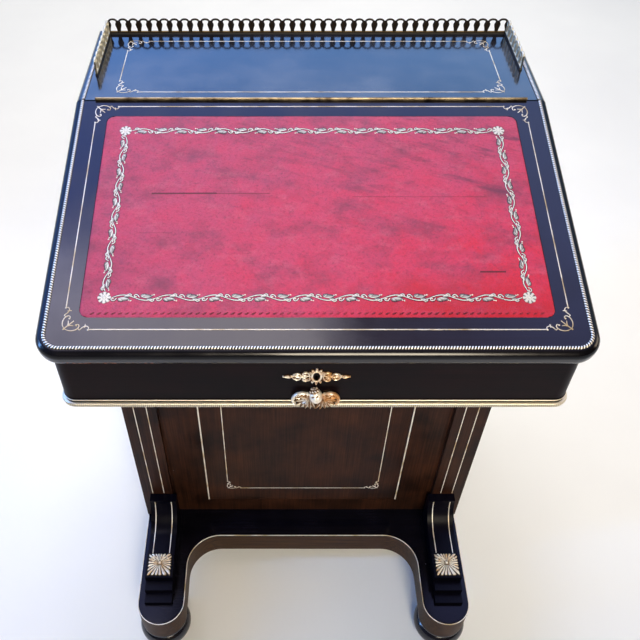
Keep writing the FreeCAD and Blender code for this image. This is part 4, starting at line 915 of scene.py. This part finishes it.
# last in each run: the loops' share of painted light, low at the back and high on the returns
runs = {
    "gallery_back": (-GALLERY_X, 0.0, 2 * GALLERY_X / BACK_BAYS, BACK_BAYS, shaded_gallery_brass, 0.35),
    "gallery_left": (-GALLERY_X, RETURN_PITCH * LEFT_BAYS, RETURN_PITCH, LEFT_BAYS, lit_return_brass, 0.85),
    "gallery_right": (GALLERY_X, RETURN_PITCH * RIGHT_BAYS, RETURN_PITCH, RIGHT_BAYS, lit_return_brass, 0.85),
}
for node, (x, forward, pitch, bays, brass, painted_light_share) in runs.items():
    start, quarter = (x, GALLERY_Y - forward, HINGE_Z), forward > 0
    lay_surface(node + "_casting", [(set_run(bay_loops(pitch, bays), start, quarter), painted_light_share),
                                    (set_run(webs(pitch, bays), start, quarter), 0.3),
                                    (set_run(rail(pitch * bays), start, quarter), RAIL_HIGHLIGHT_AND_SHADE)],
                brass, "carcass", [node])


# Writing slope: the hinged black lid, with a round nose, a stringing frame and a twisted gilt bead at its edge.
# It turns on the long brass hinge at the shelf; its underside is bare mahogany with the lock's strike let in.

SLOPE_LENGTH, SLOPE_RISE = 347.5, 78.5
tilt = math.asin(SLOPE_RISE / SLOPE_LENGTH)
up_slope = np.array([0.0, math.cos(tilt), math.sin(tilt)])
slope_board = plane(np.array([0.0, HINGE_Y, HINGE_Z]) - SLOPE_LENGTH * up_slope, ACROSS, up_slope)


def under_lid(tree, place):
    """Marks the lid's bare wood: the underside, more than 24 mm below the slope's plane, found by turning the
    lid level, and ragged chips along the lower edge of its nose towards the left."""
    level = grow(tree, "Mapping", place, Location=(0.0, HINGE_Y / 1000, HINGE_Z / 1000),
                 Rotation=(tilt, 0.0, 0.0), vector_type="TEXTURE")
    spots = grow(tree, "SeparateXYZ", level)
    under = grow(tree, "Math", spots.outputs[2], -0.0247, operation="LESS_THAN")
    # chips of 2 to 6 mm, within 3 mm of the nose's lower edge
    ragged = grow(tree, "TexNoise", place, Scale=1 / 0.006, Detail=4.0, Roughness=0.7)
    flaked = grow(tree, "Math", ragged, 0.53, operation="GREATER_THAN")
    low = grow(tree, "Math", spots.outputs[2], -0.0165, 0.003, operation="COMPARE")
    left = grow(tree, "Math", spots.outputs[0], -0.215, 0.05, operation="COMPARE")
    edge = grow(tree, "Math", low, left, operation="MULTIPLY")
    chipped = grow(tree, "Math", edge, flaked, operation="MULTIPLY")
    return grow(tree, "Math", under, chipped, operation="MAXIMUM")


slope_ebony = ebonised("ebonised_slope", 0, "#050508", "#0d0b12", gloss=0.15, shine=0.4, bare=under_lid)
finish(slope_ebony, "lid_board")
slope_frame = string_frame(slope_board, half_width=265.0, low=21.6, high=337.0)
lay_surface("slope_stringing", slope_frame, top_stringing, "lid")

BEAD_CORNER = 17.5
bead_plan = both_halves([[BEAD_X, SLOPE_LENGTH - BEAD_GAP]],
                        arc(BEAD_X - BEAD_CORNER, BEAD_CORNER, BEAD_CORNER, 0.0, -90.0))
bead = rope(slope_board(bead_plan, np.zeros(len(bead_plan))), np.cross(ACROSS, up_slope))
lay_surface("slope_rope_bead", [bead], bead_brass, "lid", ["lid_bead"])


# Writing leather: one skiver of crimson sheepskin, pared thin and pasted into a shallow bed in the slope.
# It is mottled, faded and creased by use, and its edge dips into the bed.

LEATHER_HALF, LEATHER_LOW, LEATHER_HIGH, LEATHER_CORNER = 250.6, 36.0, 321.0, 10.0


def leather_skin(rows=120, columns=200):
    """The pasted sheet over its bed: width shrinks at the round corners as a circle; height is a few low waves
    with worn hollows, and falls away over the last two millimetres to the edge."""
    share = np.linspace(0.0, 1.0, rows)
    length = LEATHER_LOW + (LEATHER_HIGH - LEATHER_LOW) * (share - 0.03 * np.sin(2 * np.pi * share) / np.pi)
    near_end = np.minimum(length - LEATHER_LOW, LEATHER_HIGH - length)
    dip = np.clip(LEATHER_CORNER - near_end, 0.0, LEATHER_CORNER)
    half_width = LEATHER_HALF - LEATHER_CORNER + np.sqrt(LEATHER_CORNER ** 2 - dip ** 2)
    width = np.sin(np.linspace(-1.0, 1.0, columns) * np.pi / 2 * 0.98) / math.sin(np.pi / 2 * 0.98)
    flat = np.stack(np.broadcast_arrays(half_width[:, None] * width, length[:, None]), axis=-1)
    x, s = flat[..., 0], flat[..., 1]
    waves = (0.07 * np.sin(x / 31 + np.sin(s / 40)) + 0.06 * np.sin(s / 23 + 1.3 * np.sin(x / 57))
             + 0.05 * np.sin((x + 2 * s) / 47))
    edge = np.minimum(near_end[:, None], half_width[:, None] - np.abs(x))
    fall = np.clip(edge / 2.0, 0.0, 1.0)
    return slope_board(flat, 0.3 + waves - 0.75 * (1 - fall) ** 2)


def skiver(name, scorch=0.0):
    """Crimson skiver leather: pink and faded where hands and sun have worn it, deeper red to the lower right,
    with mauve bruises, dark specks, pale rubs, slanting smudges, pen scores and pebble grain. Scorch darkens it
    all."""
    material, tree, place = new_material(name)
    spots = grow(tree, "SeparateXYZ", place)

    def cloud(size, detail, begin, end, most, slant=0.0):
        """Noise of a given size in metres along and across, turned by a slant and stretched to a share."""
        laid = grow(tree, "Mapping", place, Scale=(size[0], size[1], size[1]), Rotation=(0.0, 0.0, slant),
                    Location=(0.31, 0.17, 0.0), vector_type="TEXTURE")
        noise = grow(tree, "TexNoise", laid, Scale=1.0, Detail=detail, Roughness=0.65)
        return grow(tree, "MapRange", noise, From_Min=begin, From_Max=end, To_Max=most)

    # fading runs over the whole sheet, half a metre from upper left to lower right
    drift = grow(tree, "MapRange", spots.outputs[0], From_Min=-0.25, From_Max=0.25)
    reach = grow(tree, "MapRange", spots.outputs[1], From_Min=0.07, From_Max=-0.205)
    corner = grow(tree, "Math", drift, reach, operation="MULTIPLY")
    slide = grow(tree, "Math", corner, 0.58, operation="MULTIPLY")
    blots = grow(tree, "TexNoise", place, Scale=1 / 0.035, Detail=9.0, Roughness=0.74)
    ragged = grow(tree, "Math", slide, blots, operation="ADD")
    colour = grow(tree, "ValToRGB", ragged, stops=[
        (0.34, "#863656"), (0.48, "#a9385f"), (0.62, "#b3355c"), (0.85, "#ba2a50"), (1.0, "#c01a3c")])
    # stains are laid one over the other, each a share and a colour: bruises, pale rubs and specks first
    stains = [(cloud((0.05, 0.034), 9.0, 0.48, 0.7, 0.75), "#6a2c46"),
              (cloud((0.022, 0.014), 6.0, 0.52, 0.74, 0.4), "#bd5d78"),
              (cloud((0.0032, 0.003), 4.0, 0.5, 0.72, 0.55), "#5a1c38")]
    # mauve smudges slant over the upper right, and a deep red wash lies along the lower edge on the same side
    high = grow(tree, "MapRange", spots.outputs[1], From_Min=-0.13, From_Max=-0.03)
    smears = grow(tree, "Math", cloud((0.07, 0.012), 4.0, 0.52, 0.68, 0.85, -0.3), drift, operation="MULTIPLY")
    stains.append((grow(tree, "Math", smears, high, operation="MULTIPLY"), "#55243e"))
    low = grow(tree, "MapRange", spots.outputs[1], From_Min=-0.145, From_Max=-0.188)
    aside = grow(tree, "MapRange", spots.outputs[0], From_Min=0.0, From_Max=0.11)
    wash = grow(tree, "Math", low, aside, operation="MULTIPLY")
    patches = cloud((0.04, 0.03), 5.0, 0.3, 0.55, 0.95)
    stains.append((grow(tree, "Math", wash, patches, operation="MULTIPLY"), "#aa041e"))
    # pebble grain of 1.6 mm, a little coarser than sheepskin, so that it shows
    pebble = grow(tree, "TexVoronoi", place, Scale=1 / 0.0016)
    stains.append((grow(tree, "MapRange", pebble, From_Max=0.7, To_Max=0.25), "#671e36"))
    # scores left by a rule and a pen: place along the slope, both ends and half width in metres, and depth
    for along, begin, end, thick, depth in (
            (-0.0437, -0.187, -0.112, 0.0011, 0.9), (-0.0440, -0.112, -0.051, 0.0009, 0.5),
            (-0.0484, 0.044, 0.199, 0.0006, 0.4), (-0.1485, 0.178, 0.206, 0.0011, 0.9),
            (-0.098, -0.2, -0.16, 0.0006, 0.3)):
        near = grow(tree, "Math", spots.outputs[1], along, thick, operation="COMPARE")
        within = grow(tree, "Math", spots.outputs[0], (begin + end) / 2, (end - begin) / 2, operation="COMPARE")
        score = grow(tree, "Math", near, within, operation="MULTIPLY")
        stains.append((grow(tree, "Math", score, depth, operation="MULTIPLY"), "#4a0718"))
    stains.append((scorch, "#3c0b1f"))
    for share, stain in stains:
        colour = grow(tree, "Mix", share, colour, stain, data_type="RGBA")
    rough = grow(tree, "MapRange", blots, To_Min=0.4, To_Max=0.62)
    return surfaced(material, pebble, strength=0.35, depth=0.0005, Base_Color=colour, Roughness=rough,
                    Specular_IOR_Level=0.3, Sheen_Weight=0.1, Sheen_Roughness=0.5)


leather = lay_surface("writing_leather", [(leather_skin(), 1.0, False, False)],
                      skiver("crimson_skiver_leather"), "lid", ["leather_panel"], shut=False)


# Gilt tooling on the leather: a trailing vine of gold leaf, pressed in with hot brass rolls, with a flower in
# each corner, and a row of slanting blind-tooled dashes along the front edge.


def gold_leaf(name):
    """Old gold leaf pressed into leather: pale and bright, grey-green where it is rubbed and on one half of each
    leaf, where the grey is painted shade, and dark along the edges of the tooling, partly scorched leather and
    partly painted shadow."""
    material, tree, place = new_material(name)
    rubbing, worn = worn_relief(tree, place, size=0.005, rough=0.7, swing=0.3)
    colour = grow(tree, "ValToRGB", worn, stops=[
        (0.0, "#381221"), (0.14, "#403234"), (0.34, "#82827a"), (0.66, "#c8c6bc")])
    rough = grow(tree, "MapRange", rubbing, To_Min=0.55, To_Max=0.35)
    return surfaced(material, rubbing, strength=0.3, depth=0.0002, Base_Color=colour, Metallic=0.25,
                    Roughness=rough)


tooling_board = plane(slope_board(np.array([[0.0, 0.0]]), np.array([0.42]))[0], ACROSS, up_slope)
VINE_X, VINE_LOW, VINE_HIGH, VINE_REPEAT, VINE_SWING, VINE_GAP = 226.0, 60.0, 296.5, 46.0, 3.3, 8.0


def vine_run(start, end):
    """A trailing vine between two corners: the stem swings as a sine; each half wave carries two long leaves and
    a short one in its hollow, a hooked tendril from the crossing and buds. A wider dark line lies under each:
    partly scorched leather, partly painted shadow round the tooling."""
    start, end = np.array(start, float), np.array(end, float)
    length = np.linalg.norm(end - start)
    ahead = (end - start) / length
    aside = np.array([-ahead[1], ahead[0]])
    waves = max(1, round((length - 2 * VINE_GAP) / VINE_REPEAT))
    repeat = (length - 2 * VINE_GAP) / waves
    base = math.atan2(ahead[1], ahead[0])
    laid = lambda points: start + np.asarray(points)[..., :1] * ahead + np.asarray(points)[..., 1:] * aside
    run = np.linspace(VINE_GAP, length - VINE_GAP, 24 * waves + 1)
    swing = np.sin(2 * np.pi * (run - VINE_GAP) / repeat)
    lines = [(laid(np.column_stack([run, VINE_SWING * swing])), 0.8 + 0.3 * np.abs(swing))]
    sprays, buds = [], []
    for number in range(2 * waves):
        up = 1 if number % 2 == 0 else -1
        at = VINE_GAP + number * repeat / 2
        for along, off, slope, size, wide, bend in ((6.8, -1.0, -8.0, 12.6, 4.3, 0.06),
                                                    (12.6, 0.4, 28.0, 9.0, 3.7, -0.2),
                                                    (6.2, -0.8, -46.0, 6.4, 3.2, 0.2)):
            sprays.append((at + along, up * off, base + math.radians(up * slope), size, wide, up * bend))
        hook = np.array([(1.5, 0.5), (0.3, 2.6), (-1.6, 3.8), (-3.6, 3.1), (-3.8, 1.3), (-2.4, 0.8)]) * [1.0, -up]
        lines.append((laid(flowing(hook + [at + 3.4, 0.0], 14)), 1.0))
        tail = np.array([(15.0, 2.6), (18.4, 4.6), (20.6, 3.6), (20.0, 2.0)]) * [1.0, up]
        lines.append((laid(flowing(tail + [at, 0.0], 12)), 0.9))
        buds += [(at + 1.3, -up * 1.2), (at + 18.3, -up * 3.0), (at + 20.4, -up * 3.6)]
    at, off, angles, lengths, widths, bends = np.array(sprays).T
    spots = laid(np.column_stack([at, off]))
    # dark outlines at relief 0 under leaves and stems: partly scorched leather, partly painted shadow round the
    # tooling
    scorched, _ = leaves(tooling_board, spots, angles, lengths + 1.0, widths + 1.2, 0.12, bends)
    patches = [(inlay(tooling_board, line, wide + 1.3, 0.12), 0.0) for line, wide in lines] + [(scorched, 0.0)]
    patches += [(inlay(tooling_board, line, wide), 0.95) for line, wide in lines]
    # each leaf has one half painted grey-green as painted shade, the side changing with the way the leaf turns
    for up, painted_shade_halves in ((-1, (0.85, 0.4)), (1, (0.4, 0.85))):
        mine = (np.arange(len(at)) // 3 % 2 == 0) == (up > 0)
        patches.append(leaves(tooling_board, spots[mine], angles[mine], lengths[mine], widths[mine], 0.34,
                              bends[mine], painted_shade_halves=painted_shade_halves))
    patches.append((studs(tooling_board, laid(buds), radius=0.9, proud=0.34), 0.95))
    return patches


def petalled(board, spot, reach, petals, proud):
    """A tooled flower. Height over the way out and the angle is a low plate plus petals, the rounded cosine of
    the angle times a swell along the radius, plus an inner ring of petals between them and a boss."""
    out = np.concatenate([np.linspace(0.0, 1.0, 9), [1.0, 0.0]])[:, None]
    angle = turns(72)
    crest = np.abs(np.cos(petals * angle / 2)) ** 0.7
    inner = np.abs(np.sin(petals * angle / 2)) ** 0.7
    swell = np.clip((out - 0.3) / 0.3, 0, 1) * (1.15 - 0.55 * out)
    ring = np.clip((out - 0.1) / 0.12, 0, 1) * np.clip((0.56 - out) / 0.14, 0, 1)
    boss = np.sqrt(np.clip(1 - (out / 0.17) ** 2, 0, 1))
    relief = np.clip(crest * swell + inner * ring * 0.9 + boss, 0, 1.1)
    height = proud * (0.25 + 0.75 * relief)
    height[-2:] = -0.15
    rim = reach * (0.9 + 0.1 * crest)
    return board(np.asarray(spot, float) + polar(out, angle) * rim[:, None], height), np.clip(relief, 0, 1)


corners = [(-VINE_X, VINE_LOW), (VINE_X, VINE_LOW), (VINE_X, VINE_HIGH), (-VINE_X, VINE_HIGH)]
vine = []
for begin, end in zip(corners, corners[1:] + corners[:1]):
    vine += vine_run(begin, end) + [petalled(tooling_board, begin, reach=7.2, petals=8, proud=0.5)]
lay_surface("gilt_vine_border", vine, gold_leaf("tooled_gold_leaf"), "lid")

DASH_REACH, DASH_PITCH, DASH_SLANT, DASH_MARGIN = 240.0, 7.4, 0.22, 3.6
dash_spots = level_at(np.arange(-DASH_REACH, DASH_REACH, DASH_PITCH), LEATHER_LOW + DASH_MARGIN)
dashes = leaves(slope_board, dash_spots, DASH_SLANT, lengths=6.8, widths=2.4, proud=0.8, bend=0.2)
lay_surface("blind_tooled_dashes", [dashes], skiver("blind_tooled_leather", scorch=0.7), "lid")
